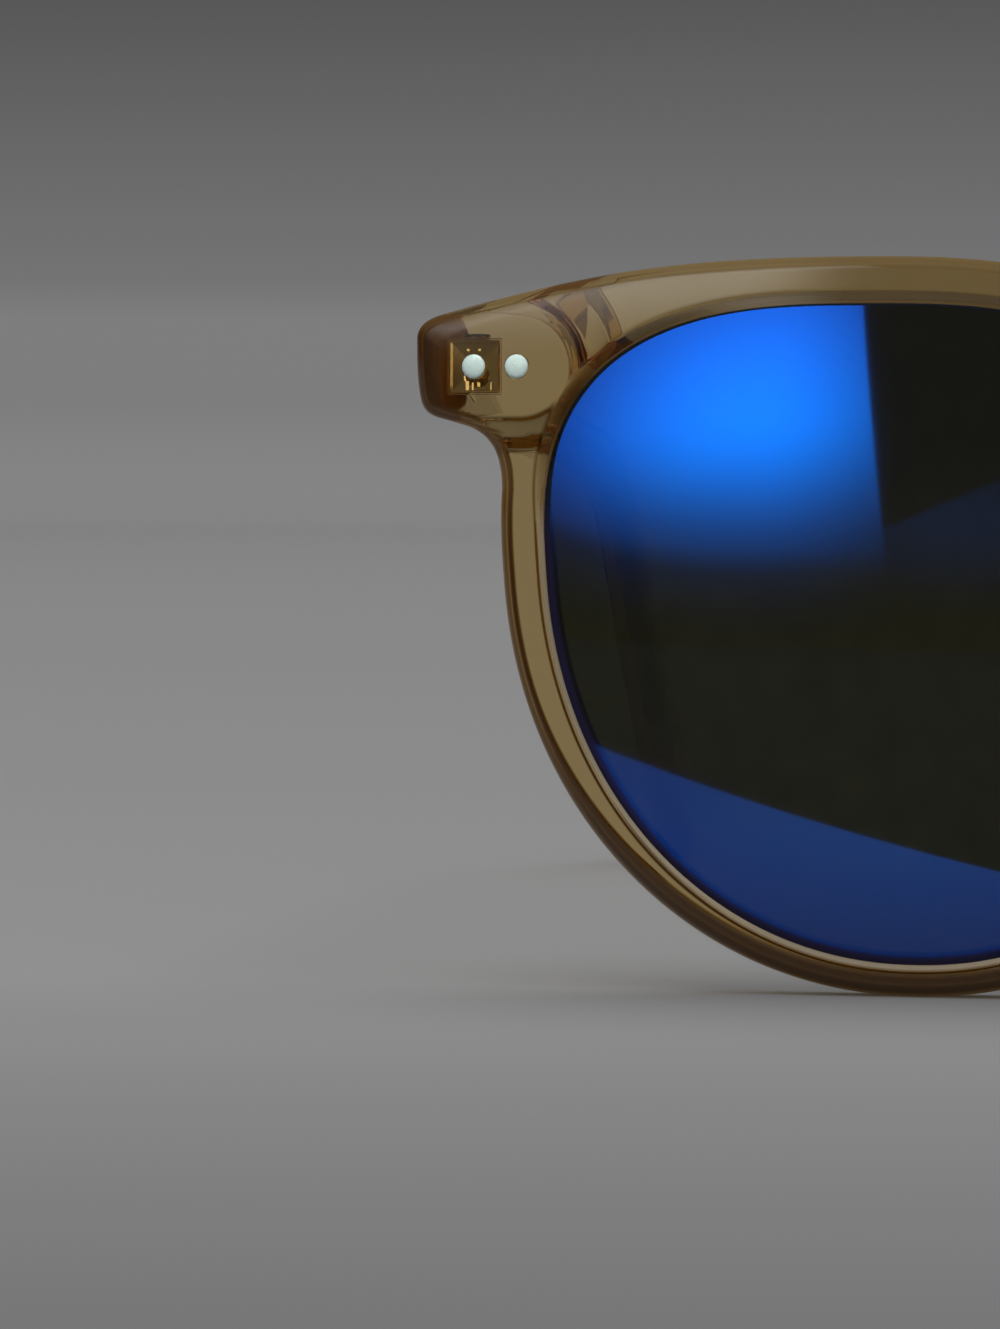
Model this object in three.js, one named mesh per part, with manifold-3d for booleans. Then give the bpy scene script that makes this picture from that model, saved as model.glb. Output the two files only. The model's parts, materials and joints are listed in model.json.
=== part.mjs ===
// Round sunglasses: a transparent brown plastic front with a keyhole bridge, two mirrored lenses,
// and two folding temples on riveted three-barrel hinges with metal cores.
// Millimetres, +Z up. The front faces -Y and the wearer's right is -X.
// Heights are first measured from the widest line of the lens openings, and the finished group is then
// moved so that the origin lies under the middle of the glasses, on the surface that they stand on.
import * as THREE from "three";
import { mergeVertices } from "three/addons/utils/BufferGeometryUtils.js";
import Module from "manifold-3d";

// Lens openings
const openingHalfWidth = 25;
const openingRise = 19.7;
const openingDrop = 27.7;
const shoulderPower = 2.8;
const cheekPower = 2.12;
const openingLean = 0.075;
const bridgeWidth = 20;

// Front
const rimTop = 3.35;
const rimSide = 3.2;
const rimBottom = 2.3;
const rimDepth = 4.0;
const edgeRound = 0.9;
const lipRound = 0.45;
const faceRadius = 400;
const bridgeTop = 12.5;
const bridgeHeight = 6.0;
const keyholeRadius = 4.9;

// How far the outline's bends run on along the directions at their two ends
const bridgeLead = 7;
const browLead = 9;
const crestLead = 14;
const endTopLead = 11.5;
const endSideLead = 2;
const filletTopLead = 2.2;
const filletFootLead = 2.86;
const noseLead = 7;
const archLead = 6;

// Nose pads, moulded on the back of the front
const padHalfWidth = 1.5;
const padHalfLength = 7.2;
const padDepth = 5.4;
const padDrop = 10.5;
const padRoot = 1.0;
const padSplay = 1.9;
const padFlare = 0.36;

// End pieces, which carry the hinges
const endReach = 10.0;
const endRise = 15.2;
const endHeight = 7.2;
const endDepth = 5.3;
const endCorner = 1.7;
const endSlope = 0.27;
const endInset = 0.3;
const filletStep = 1.6;
const blockRadius = 3.6;
const blockMargin = 0.35;
const blockFlare = 2.2;

// Lenses
const lensThickness = 1.9;
const lensRadius = 132;
const lensSeat = 0.55;
const lensForward = 1.85;
const grooveClearance = 0.12;

// Rivets
const rivetHead = 1.75;
const rivetHeadDepth = 0.5;
const rivetShank = 1.1;
const rivetLength = 1.7;
const rivetDome = 0.1;
const rivetPitch = 3.2;
const rivetClearance = 0.08;
const templeRivetPitch = 4.2;
const rivetShort = 0.2;

// Hinges
const knuckleRadius = 1.3;
const knuckleHeight = 1.12;
const knuckleGap = 0.1;
const pinInset = 0.75;
const pinSetback = 1.6;
const leafWidth = 3.8;
const leafDepth = 3.2;
const leafClearance = 0.12;
const leafMargin = 0.15;
const screwRadius = 0.6;
const screwClearance = 0.08;
const screwHeadRadius = 1.0;
const screwHeadHeight = 0.45;
const screwSlot = 0.28;
const plateLength = 11.0;
const plateHeight = 3.2;
const plateThickness = 0.9;
const tangLength = 2.0;
const tangDepth = 2.3;
const notchClearance = 0.3;

// Temples
const templeThickness = 3.4;
const templeHeight = 6.6;
const waistThickness = 2.9;
const waistHeight = 4.9;
const tipThickness = 3.2;
const tipHeight = 6.4;
const flankInset = 0.2;
const flankLength = 70;
const straightLength = 92;
const earRadius = 22;
const earAngle = 0.75;
const tipLength = 39.4;
const tipInward = 3.5;
const templeDrop = 0.087;
const templeCorner = 0.95;
const buttGap = 0.3;
const tipThinning = 0.35;

// Temple cores
const coreThickness = 1.2;
const coreHeight = 2.2;
const coreTaper = 0.6;
const coreFromTip = 14;
const coreClearance = 0.12;
const coreCorner = 0.3;
const coreStop = 1;
const coreRelief = 4;

// Shares that shape small forms
const cornerLift = 0.3;
const cornerLead = 0.6;
const cornerTilt = 0.2;
const cornerFoot = 0.7;
const underLead = 0.9;
const lensBevel = 0.5;
const lensEdge = 0.4;
const domeFoot = 0.4;
const domeShoulder = [0.8, 0.85];
const padTaper = 0.96;
const armShare = 0.9;
const sharpest = 0.4;
const slotTurn = 0.6;

// Facets, and where the rings of the lofted pieces lie
const openingSteps = 38;
const rimSteps = 22;
const roundSteps = 16;
const bendSteps = 9;
const cornerSteps = 4;
const sideSteps = 3;
const sectionSteps = 3;
const filletSteps = 6;
const lensRings = [0.15, 0.6, 1];
const padRings = [0.25, 0.5, 0.75, 0.93, 1];
const flankRings = [0, 0.086, 0.257, 0.514, 0.771];
const waistRings = [0, 1 / 3, 2 / 3, 1];
const earRings = [0.2, 0.4, 0.6, 0.8, 1];
const tipRings = [0.35, 0.7, 1];
const tipTurns = [0.5, 0.95, 1.3];
const weld = 1e-4;
const leastStep = 0.05;

// How far a cutter stands out of the face that it opens
const proud = 1;

// Places that follow from the sizes
const lensCentre = openingHalfWidth + bridgeWidth / 2;
const endX = lensCentre + openingHalfWidth + endReach;
const knuckleStack = 3 * knuckleHeight + 2 * knuckleGap;
const leafHeight = knuckleStack + 2 * leafMargin;
const templeOuter = endX - flankInset;
const pinX = templeOuter - templeThickness - pinInset;
const backY = faceSag(endX) - rimDepth / 2 + endDepth;
const pinY = backY + pinSetback;
const templeStart = buttGap - pinSetback;
const templeLength = straightLength + earRadius * earAngle + tipLength;
const templeSide = pinInset + templeThickness;
const plateStart = knuckleRadius + notchClearance + leafClearance;
const plateEnd = plateStart + plateLength;
const coreStart = plateEnd + leafClearance + buttGap;
const innerRivetX = pinX - rivetPitch;

const plastic = { color: 0x7d6840, roughness: 0.12, metalness: 0, transparent: true, opacity: 0.7 };
const darkPlastic = { color: 0x5a4524, roughness: 0.12, metalness: 0, transparent: true, opacity: 0.8 };
const mirror = { color: 0x0c3f9c, roughness: 0.05, metalness: 0.6 };
const polished = { color: 0xdfe6e0, roughness: 0.15, metalness: 1 };
const gilt = { color: 0xc8a24a, roughness: 0.25, metalness: 1 };
const steel = { color: 0xb6b8b8, roughness: 0.3, metalness: 1 };

const wasm = await Module();
wasm.setup();

// The front is bowed round the face: its middle surface lies this far behind the bridge.
function faceSag(x) {
  return (x * x) / (2 * faceRadius);
}

function mix(a, b, share) {
  return a + (b - a) * share;
}

function smooth(share) {
  const k = Math.min(1, Math.max(0, share));
  return k * k * (3 - 2 * k);
}

// Closed solids: a geometry becomes a manifold with shared corners and no empty triangles.
function solid(geometry) {
  const bare = geometry.clone();
  bare.deleteAttribute("normal");
  bare.deleteAttribute("uv");
  const merged = mergeVertices(bare, weld);
  const corners = [];
  const index = merged.index.array;
  for (let i = 0; i < index.length; i += 3) {
    const [a, b, c] = index.slice(i, i + 3);
    if (a !== b && b !== c && c !== a) {
      corners.push(a, b, c);
    }
  }
  const vertProperties = new Float32Array(merged.attributes.position.array);
  const triVerts = new Uint32Array(corners);
  return new wasm.Manifold(new wasm.Mesh({ numProp: 3, vertProperties, triVerts }));
}

function geometryOf(body) {
  const mesh = body.getMesh();
  const geometry = new THREE.BufferGeometry();
  geometry.setAttribute("position", new THREE.BufferAttribute(new Float32Array(mesh.vertProperties), 3));
  geometry.setIndex(new THREE.BufferAttribute(new Uint32Array(mesh.triVerts), 1));
  geometry.computeVertexNormals();
  return geometry;
}

function join(...geometries) {
  return geometries.map(solid).reduce((whole, piece) => whole.add(piece));
}

function cut(body, ...geometries) {
  return geometries.map(solid).reduce((rest, piece) => rest.subtract(piece), body);
}

// The other side of the glasses: x is turned round, and so is each triangle.
function mirrored(geometry) {
  const copy = geometry.clone();
  copy.scale(-1, 1, 1);
  if (!copy.index) {
    copy.setIndex([...Array(copy.attributes.position.count).keys()]);
  }
  copy.index.array.reverse();
  copy.computeVertexNormals();
  return copy;
}

// A skin over rings with equally many points, closed by a fan at each end.
function loft(rings) {
  const count = rings[0].length;
  const points = rings.flat();
  const faces = [];
  for (let r = 0; r + 1 < rings.length; r += 1) {
    for (let i = 0; i < count; i += 1) {
      const a = r * count + i;
      const b = r * count + ((i + 1) % count);
      faces.push(a, b + count, b, a, a + count, b + count);
    }
  }
  const ends = [rings[0], rings.at(-1)];
  for (const [end, ring] of ends.entries()) {
    const middle = new THREE.Vector3();
    ring.forEach((point) => middle.addScaledVector(point, 1 / count));
    const first = end * (rings.length - 1) * count;
    points.push(middle);
    for (let i = 0; i < count; i += 1) {
      const edge = [first + i, first + ((i + 1) % count)];
      faces.push(points.length - 1, edge[end], edge[1 - end]);
    }
  }
  const geometry = new THREE.BufferGeometry().setFromPoints(points);
  geometry.setIndex(faces);
  return geometry;
}

// The opening's outline on the +X side: two half superellipses that share their widest line, leaning
// outwards at the top. grow moves the outline out along its normal.
function openingPoint(angle, grow) {
  const across = Math.cos(angle);
  const up = Math.sin(angle);
  const power = up >= 0 ? shoulderPower : cheekPower;
  const height = up >= 0 ? openingRise : openingDrop;
  const side = Math.sign(across);
  const end = Math.sign(up);
  const z = height * end * Math.abs(up) ** (2 / power);
  const lean = openingLean * (z - (openingRise - openingDrop) / 2);
  const x = lensCentre + openingHalfWidth * side * Math.abs(across) ** (2 / power) + lean;
  const normal = new THREE.Vector2(
    (side * Math.abs(across) ** (2 - 2 / power)) / openingHalfWidth,
    (end * Math.abs(up) ** (2 - 2 / power)) / height,
  );
  normal.y -= openingLean * normal.x;
  return new THREE.Vector2(x, z).addScaledVector(normal.normalize(), grow);
}

function openingOutline(grow) {
  const step = (2 * Math.PI) / openingSteps;
  return Array.from({ length: openingSteps }, (_, i) => openingPoint(i * step, grow));
}

// The rim's outer edge: the opening grown by the rim's width at that place.
function rimPoint(angle) {
  const up = Math.sin(angle);
  const width = mix(rimSide, up >= 0 ? rimTop : rimBottom, up * up);
  return openingPoint(angle, width);
}

function rimStretch(from, to, steps) {
  return Array.from({ length: steps + 1 }, (_, i) => rimPoint(mix(from, to, i / steps)));
}

// A smooth bend between two points, leaving along one direction and arriving along another.
function bend(start, leaving, end, arriving, steps) {
  const first = start.clone().add(leaving);
  const second = end.clone().sub(arriving);
  return new THREE.CubicBezierCurve(start, first, second, end).getPoints(steps);
}

// Half of the front's outline, from the top of the bridge out over the brow and round to the keyhole.
function frontHalfOutline() {
  const at = (x, z) => new THREE.Vector2(x, z);
  const browStart = Math.PI * 0.67;
  const noseEnd = -Math.PI * 0.84;
  const filletEnd = 0.19;
  const brow = rimStretch(browStart, Math.PI / 2, bendSteps - 1);
  const rim = rimStretch(filletEnd, noseEnd, rimSteps);
  const noseHeading = rim.at(-1).clone().sub(rim.at(-2)).setLength(noseLead);
  const browHeading = brow[1].clone().sub(brow[0]).setLength(browLead);
  const top = endRise + endHeight / 2;
  const bottom = endRise - endHeight / 2;
  const lift = endSlope * endCorner * cornerLift;
  const under = at(-1, -endSlope);
  const topCorner = at(endX - endCorner, top + lift);
  const topLeaving = at(endCorner * cornerLead, -endCorner * cornerTilt);
  const endTop = at(endX, top - endCorner);
  const topArriving = at(0, -endCorner * cornerLead);
  const endBottom = at(endX - endInset, bottom + endCorner * cornerFoot);
  const sideArriving = at(-0.25, -1.2);
  const sideLeaving = at(-0.2, -0.7);
  const underCorner = at(endX - endCorner, bottom - lift);
  const underArriving = under.clone().multiplyScalar(underLead);
  const filletStart = underCorner.clone().addScaledVector(under, filletStep);
  const filletLeaving = under.clone().multiplyScalar(filletTopLead);
  const keyholeMiddle = bridgeTop - bridgeHeight - keyholeRadius;
  const keyholeSide = at(keyholeRadius, keyholeMiddle);
  const arch = Array.from({ length: bendSteps }, (_, i) => {
    const turn = (Math.PI / 2) * (i / (bendSteps - 1));
    return at(keyholeRadius * Math.cos(turn), keyholeMiddle + keyholeRadius * Math.sin(turn));
  });
  return [
    bend(at(0, bridgeTop), at(bridgeLead, 0), brow[0], browHeading, bendSteps - 1),
    brow,
    bend(brow.at(-1), at(crestLead, 0), topCorner, at(endTopLead, -endTopLead * endSlope), bendSteps + 1),
    bend(topCorner, topLeaving, endTop, topArriving, cornerSteps),
    bend(endTop, at(0, -endSideLead), endBottom, sideArriving, sideSteps),
    bend(endBottom, sideLeaving, underCorner, underArriving, cornerSteps),
    bend(filletStart, filletLeaving, rim[0], at(0, -filletFootLead), filletSteps),
    rim,
    bend(rim.at(-1), noseHeading, keyholeSide, at(0, archLead), bendSteps),
    arch,
  ]
    .flat()
    .filter((point, i, all) => i === 0 || point.distanceTo(all[i - 1]) > leastStep);
}

function frontOutline() {
  const half = frontHalfOutline();
  const other = half
    .slice(1, -1)
    .reverse()
    .map((point) => new THREE.Vector2(-point.x, point.y));
  return [...half, ...other];
}

// A flat outline in X and Z, given a depth along Y about its middle.
function plateOf(shape, depth, settings = {}) {
  const geometry = new THREE.ExtrudeGeometry(shape, { depth, bevelEnabled: false, ...settings });
  geometry.translate(0, 0, -depth / 2);
  geometry.rotateX(Math.PI / 2);
  return geometry;
}

function bowed(geometry) {
  const place = geometry.attributes.position;
  for (let i = 0; i < place.count; i += 1) {
    place.setY(i, place.getY(i) + faceSag(place.getX(i)));
  }
  return geometry;
}

function box(low, high) {
  const size = high.map((value, i) => value - low[i]);
  const middle = high.map((value, i) => (value + low[i]) / 2);
  return new THREE.BoxGeometry(...size).translate(...middle);
}

function upright(radius, low, high) {
  const geometry = new THREE.CylinderGeometry(radius, radius, high - low, roundSteps);
  return geometry.rotateX(Math.PI / 2).translate(0, 0, (low + high) / 2);
}

// A lens on the +X side: a meniscus whose rim reaches into the groove. grow makes the groove's cutter.
function lensBody(grow) {
  const outline = openingOutline(lensSeat + grow);
  const flat = openingOutline(lensSeat * lensBevel + grow);
  const centre = new THREE.Vector2(lensCentre, (openingRise - openingDrop) / 2);
  const tilt = lensCentre / faceRadius;
  const surface = (points, share, behind) =>
    points.map((point) => {
      const x = mix(centre.x, point.x, share);
      const z = mix(centre.y, point.y, share);
      const across = Math.hypot(x - centre.x, z - centre.y);
      const sag = lensRadius - Math.sqrt(lensRadius ** 2 - across ** 2);
      const y = faceSag(lensCentre) - lensForward + tilt * (x - centre.x) + sag;
      return new THREE.Vector3(x, y + behind, z);
    });
  const half = lensThickness / 2 + grow;
  const front = lensRings.map((share) => surface(flat, share, -half));
  const edge = [-lensEdge, lensEdge].map((share) => surface(outline, 1, half * share));
  const back = lensRings.map((share) => surface(flat, share, half)).reverse();
  return loft([...front, ...edge, ...back]);
}

// A rivet along Y with its flush head at the origin, facing -Y. grow makes the hole's cutter.
function rivetBody(length, grow) {
  const head = rivetHead / 2 + grow;
  const shank = rivetShank / 2 + grow;
  const rise = grow > 0 ? proud : rivetDome;
  const profile = [
    new THREE.Vector2(0, -length - grow),
    new THREE.Vector2(shank, -length - grow),
    new THREE.Vector2(shank, -rivetHeadDepth - grow),
    new THREE.Vector2(head, -rivetHeadDepth - grow),
    new THREE.Vector2(head, rise * domeFoot),
    new THREE.Vector2(head * domeShoulder[0], rise * domeShoulder[1]),
    new THREE.Vector2(0, rise),
  ];
  return new THREE.LatheGeometry(profile, roundSteps).rotateX(Math.PI);
}

// Front rivets stand square to the bowed face.
function onFace(geometry, x) {
  const turn = Math.atan(x / faceRadius);
  return geometry.rotateZ(turn).translate(x, faceSag(x) - rimDepth / 2, endRise);
}

// The thick block behind the end piece that the hinge is set into: a D, round at its inner end, that flares
// out towards the rim.
function hingeBlock() {
  const foot = blockRadius + blockFlare;
  const ring = (radius, y) => {
    const arc = Array.from({ length: roundSteps }, (_, i) => {
      const turn = Math.PI * (0.5 + i / (roundSteps - 1));
      return new THREE.Vector3(innerRivetX + radius * Math.cos(turn), y, endRise + radius * Math.sin(turn));
    });
    const corners = [-radius, radius].map((rise) => new THREE.Vector3(endX, y, endRise + rise));
    return [...arc, ...corners];
  };
  const sunk = ring(foot, faceSag(innerRivetX - foot));
  const block = loft([sunk, ring(foot, backY - blockFlare), ring(blockRadius, backY)]);
  const inset = {
    bevelEnabled: true,
    bevelSize: 0,
    bevelOffset: -blockMargin,
    bevelThickness: blockMargin,
    bevelSegments: 1,
  };
  const silhouette = plateOf(new THREE.Shape(frontOutline()), 4 * backY, inset);
  return solid(block).intersect(solid(silhouette));
}

// A nose pad: a long oval on the back of the rim that leans away from the nose as it tapers to its crown.
function nosePad() {
  const rimBack = rimDepth / 2;
  const foot = padFromMiddle();
  const rings = [-padRoot / padDepth, ...padRings].map((rise) => {
    const share = Math.max(0, rise);
    const taper = Math.sqrt(1 - padTaper * share ** 3);
    return Array.from({ length: roundSteps }, (_, i) => {
      const turn = (2 * Math.PI * i) / roundSteps;
      const across = padHalfWidth * taper * Math.cos(turn);
      const along = padHalfLength * taper * Math.sin(turn);
      const x = foot + padSplay * share + across * Math.cos(padFlare) - along * Math.sin(padFlare);
      const z = across * Math.sin(padFlare) + along * Math.cos(padFlare) - padDrop;
      return new THREE.Vector3(x, rimBack + padDepth * rise, z);
    });
  });
  return loft(rings);
}

// The pad stands on the middle of the rim's nose side at the pad's height.
function padFromMiddle() {
  const nearest = openingOutline(rimSide / 2)
    .filter((point) => point.x < lensCentre)
    .sort((a, b) => Math.abs(a.y + padDrop) - Math.abs(b.y + padDrop));
  return nearest[0].x;
}

function frontFrame() {
  const shape = new THREE.Shape(frontOutline());
  const holes = openingOutline(lipRound - edgeRound);
  const otherHoles = holes.map((point) => new THREE.Vector2(-point.x, point.y)).reverse();
  shape.holes = [new THREE.Path(holes), new THREE.Path(otherHoles)];
  const rounding = {
    bevelEnabled: true,
    bevelSize: edgeRound,
    bevelOffset: -edgeRound,
    bevelThickness: edgeRound,
    bevelSegments: 2,
  };
  let body = solid(bowed(plateOf(shape, rimDepth - 2 * edgeRound, rounding)));
  const block = geometryOf(hingeBlock());
  const opening = bowed(plateOf(new THREE.Shape(openingOutline(0)), 3 * rimDepth));
  const halfWidth = leafWidth / 2 + leafClearance;
  const halfHeight = leafHeight / 2 + leafClearance;
  const pocket = box(
    [pinX - halfWidth, backY - leafDepth - leafClearance, endRise - halfHeight],
    [pinX + halfWidth, backY + proud, endRise + halfHeight],
  );
  const holesAt = [pinX, innerRivetX].map((x) => onFace(rivetBody(rivetLength, rivetClearance), x));
  for (const turned of [(geometry) => geometry, mirrored]) {
    const added = [block, nosePad()].map(turned);
    const removed = [opening, lensBody(grooveClearance), pocket, ...holesAt].map(turned);
    body = cut(join(geometryOf(body), ...added), ...removed);
  }
  return geometryOf(body);
}

// The front leaf, about the hinge pin: a root set into the block, two arms and two barrels.
function frontLeaf() {
  const half = knuckleStack / 2;
  const inside = knuckleHeight / 2 + knuckleGap;
  const front = -pinSetback;
  const root = box(
    [-leafWidth / 2, front - leafDepth, -leafHeight / 2],
    [leafWidth / 2, front, leafHeight / 2],
  );
  const barrel = upright(knuckleRadius, -half, half);
  const arm = box([-knuckleRadius, front - leafDepth / 2, -half], [knuckleRadius / 2, 0, half]);
  const gap = box(
    [-2 * knuckleRadius, front + knuckleGap, -inside],
    [2 * knuckleRadius, 2 * knuckleRadius, inside],
  );
  const body = join(root, barrel, arm);
  const bore = upright(screwRadius + screwClearance, -half - proud, half + proud);
  return geometryOf(cut(body, gap, bore));
}

// A piece of the temple, drawn along the level +Y line through the pin, dropped to the temple's slope.
function dropped(geometry) {
  return geometry.rotateX(-templeDrop);
}

// The temple leaf's plate and tang. grow makes the recess that they lie in, open on the inner face.
function templePlate(grow) {
  const half = plateHeight / 2 + grow;
  const shape = new THREE.Shape();
  shape.moveTo(plateStart - grow, -half);
  shape.lineTo(plateEnd - half + grow, -half);
  shape.absarc(plateEnd - half + grow, 0, half, -Math.PI / 2, Math.PI / 2, false);
  shape.lineTo(plateStart - grow, half);
  const surface = grow > 0 ? proud : 0;
  const thickness = plateThickness + grow + surface;
  const settings = { depth: thickness, bevelEnabled: false, curveSegments: bendSteps - 1 };
  const plate = new THREE.ExtrudeGeometry(shape, settings);
  plate.applyMatrix4(new THREE.Matrix4().set(0, 0, 1, 0, 1, 0, 0, 0, 0, 1, 0, 0, 0, 0, 0, 1));
  plate.translate(pinInset - surface, 0, 0);
  const tangHalf = coreHeight / 2 + grow;
  const tang = box(
    [pinInset, plateEnd - tangLength - grow, -tangHalf],
    [pinInset + tangDepth + grow, plateEnd + grow, tangHalf],
  );
  return join(plate, tang);
}

function templeRivetPlaces() {
  const first = plateStart + rivetHead;
  return [first, first + templeRivetPitch];
}

// A temple rivet runs in from the outer flank, through the temple and the leaf's plate.
function templeRivet(y, grow) {
  const place = rivetBody(templeThickness - rivetShort, grow).rotateZ(Math.PI / 2);
  return place.translate(templeSide, y, 0);
}

function templeLeaf() {
  const half = knuckleHeight / 2;
  const barrel = upright(knuckleRadius, -half, half);
  const arm = box([0, 0, -half], [pinInset + plateThickness * armShare, plateStart + knuckleRadius, half]);
  const plate = dropped(geometryOf(templePlate(0)));
  const body = join(barrel, arm, plate);
  const bore = upright(screwRadius + screwClearance, -half - proud, half + proud);
  const holes = templeRivetPlaces().map((y) => dropped(templeRivet(y, rivetClearance)));
  return geometryOf(cut(body, bore, ...holes));
}

// The hinge screw stands in the barrels with its slotted head on the upper one.
function hingeScrew() {
  const half = knuckleStack / 2;
  const seat = half + screwClearance;
  const shank = upright(screwRadius, -half, seat + screwHeadHeight / 2);
  const head = upright(screwHeadRadius, seat, seat + screwHeadHeight);
  const slot = box(
    [-screwHeadRadius, -screwSlot / 2, seat + screwHeadHeight / 2],
    [screwHeadRadius, screwSlot / 2, seat + 2 * screwHeadHeight],
  ).rotateZ(slotTurn);
  return geometryOf(cut(join(shank, head), slot));
}

// The temple's spine before its slope: level to the ear, round the ear, then straight to the tip.
function spine(along) {
  const past = along - straightLength;
  const turn = Math.min(earAngle, Math.max(0, past / earRadius));
  const beyond = Math.max(0, past - earRadius * earAngle);
  const y = Math.min(along, straightLength) + earRadius * Math.sin(turn) + beyond * Math.cos(turn);
  const z = -earRadius * (1 - Math.cos(turn)) - beyond * Math.sin(turn);
  const inward = tipInward * Math.max(0, (along - flankLength) / (templeLength - flankLength)) ** 2;
  return { y: y + templeStart, z, turn, inward };
}

// A rounded rectangle across the spine, with its outer side in line with the flank.
function sectionRing(along, outer, thickness, height, corner) {
  const { y, z, turn, inward } = spine(along);
  const lean = along > 0 ? turn : -templeDrop;
  const ring = [];
  const reach = [thickness / 2 - corner, height / 2 - corner];
  for (let i = 0; i < 4 * sectionSteps; i += 1) {
    const quarter = Math.floor(i / sectionSteps);
    const angle = (Math.PI / 2) * (quarter + (i % sectionSteps) / (sectionSteps - 1));
    const right = quarter === 0 || quarter === 3 ? 1 : -1;
    const up = quarter < 2 ? 1 : -1;
    const across = right * reach[0] + corner * Math.cos(angle);
    const above = up * reach[1] + corner * Math.sin(angle);
    const x = outer - thickness / 2 - inward + across;
    ring.push(new THREE.Vector3(x, y + above * Math.sin(lean), z + above * Math.cos(lean)));
  }
  return ring;
}

function templeThicknessAt(along) {
  const share = smooth((along - flankLength) / (templeLength - flankLength));
  const front = mix(templeThickness, waistThickness, Math.min(1, along / flankLength));
  return along < flankLength ? front : mix(waistThickness, tipThickness, share);
}

function templeHeightAt(along) {
  const share = smooth((along - flankLength) / (templeLength - tipHeight - flankLength));
  const front = mix(templeHeight, waistHeight, smooth(along / flankLength));
  return along < flankLength ? front : mix(waistHeight, tipHeight, share);
}

function templeSections() {
  const earEnd = straightLength + earRadius * earAngle;
  const roundStart = templeLength - tipHeight / 2;
  const flank = flankRings.map((share) => share * flankLength);
  const waist = waistRings.map((share) => mix(flankLength, straightLength, share));
  const ear = earRings.map((share) => mix(straightLength, earEnd, share));
  const tip = tipRings.map((share) => mix(earEnd, roundStart, share));
  return [...flank, ...waist, ...ear, ...tip];
}

function templeBlank() {
  const rings = templeSections().map((along) =>
    sectionRing(along, templeSide, templeThicknessAt(along), templeHeightAt(along), templeCorner),
  );
  const roundStart = templeLength - tipHeight / 2;
  for (const angle of tipTurns) {
    const along = roundStart + (tipHeight / 2) * Math.sin(angle);
    const height = tipHeight * Math.cos(angle);
    const thickness = templeThicknessAt(along) * (1 - tipThinning * Math.sin(angle) ** 4);
    const corner = Math.min(templeCorner, height * sharpest);
    rings.push(sectionRing(along, templeSide, thickness, height, corner));
  }
  return dropped(loft(rings));
}

// The metal core lies in the middle of the temple and thins towards the tip.
function templeCore(grow) {
  const first = coreStart - templeStart;
  const last = templeLength - coreFromTip;
  const stops = templeSections().filter((along) => along > first + coreStop && along < last - coreStop);
  const rings = [first - coreRelief * grow, ...stops, last + grow].map((along) => {
    const share = mix(1, coreTaper, (along - first) / (last - first));
    const thickness = coreThickness * share + 2 * grow;
    const height = coreHeight * share + 2 * grow;
    const outer = templeSide - templeThicknessAt(along) / 2 + thickness / 2;
    return sectionRing(along, outer, thickness, height, thickness * coreCorner);
  });
  return dropped(loft(rings));
}

function temple() {
  const half = knuckleStack / 2 + notchClearance;
  const notch = upright(knuckleRadius + notchClearance, -half, half + screwHeadHeight + screwClearance);
  const armHalf = knuckleHeight / 2 + notchClearance;
  const arm = box(
    [0, 0, -armHalf],
    [pinInset + plateThickness + leafClearance, plateStart + leafClearance, armHalf],
  );
  const recess = dropped(geometryOf(templePlate(leafClearance)));
  const rivets = templeRivetPlaces().map((y) => dropped(templeRivet(y, rivetClearance)));
  return geometryOf(cut(solid(templeBlank()), notch, arm, recess, templeCore(coreClearance), ...rivets));
}

function mesh(name, geometry, finish) {
  const piece = new THREE.Mesh(geometry, new THREE.MeshStandardMaterial({ ...finish, flatShading: true }));
  piece.name = name;
  return piece;
}

// One side's pieces, drawn on the +X side and turned round for the wearer's right.
function sidePieces(side, turned) {
  const pieces = [];
  const add = (name, geometry, finish) => pieces.push(mesh(`${name}_${side}`, turned(geometry), finish));
  const atPin = (geometry) => geometry.translate(pinX, pinY, endRise);
  add("lens", geometryOf(solid(lensBody(0))), mirror);
  add("front_rivet_outer", geometryOf(solid(onFace(rivetBody(rivetLength, 0), pinX))), polished);
  add("front_rivet_inner", geometryOf(solid(onFace(rivetBody(rivetLength, 0), innerRivetX))), polished);
  add("front_hinge_leaf", atPin(frontLeaf()), gilt);
  add("hinge_screw", atPin(hingeScrew()), steel);
  add("temple_hinge_leaf", atPin(templeLeaf()), gilt);
  add("temple", atPin(temple()), darkPlastic);
  add("temple_core", atPin(geometryOf(solid(templeCore(0)))), steel);
  for (const [i, y] of templeRivetPlaces().entries()) {
    const rivet = geometryOf(solid(dropped(templeRivet(y, 0))));
    add(["temple_rivet_front", "temple_rivet_rear"][i], atPin(rivet), polished);
  }
  return pieces;
}

const glasses = new THREE.Group();
glasses.add(mesh("front_frame", frontFrame(), plastic));
glasses.add(...sidePieces("right", mirrored));
glasses.add(...sidePieces("left", (geometry) => geometry));

const reach = new THREE.Box3().setFromObject(glasses, true);
const middle = reach.getCenter(new THREE.Vector3());
glasses.position.set(-middle.x, -middle.y, -reach.min.z);

export default glasses;
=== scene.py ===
# %% [markdown]
# # A pair of round sunglasses
# The glasses are a moulded front of clear brown plastic, two mirrored lenses and two temples that fold on
# riveted hinges. The imported model already holds every piece at its real size and place. This lesson
# rebuilds the pieces that show as fine surfaces, each a formula on a grid, and gives each its finish.
# First the imported model is loaded, with every part set at its place in the world.

# %% Load the imported frame
import json
import math

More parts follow.
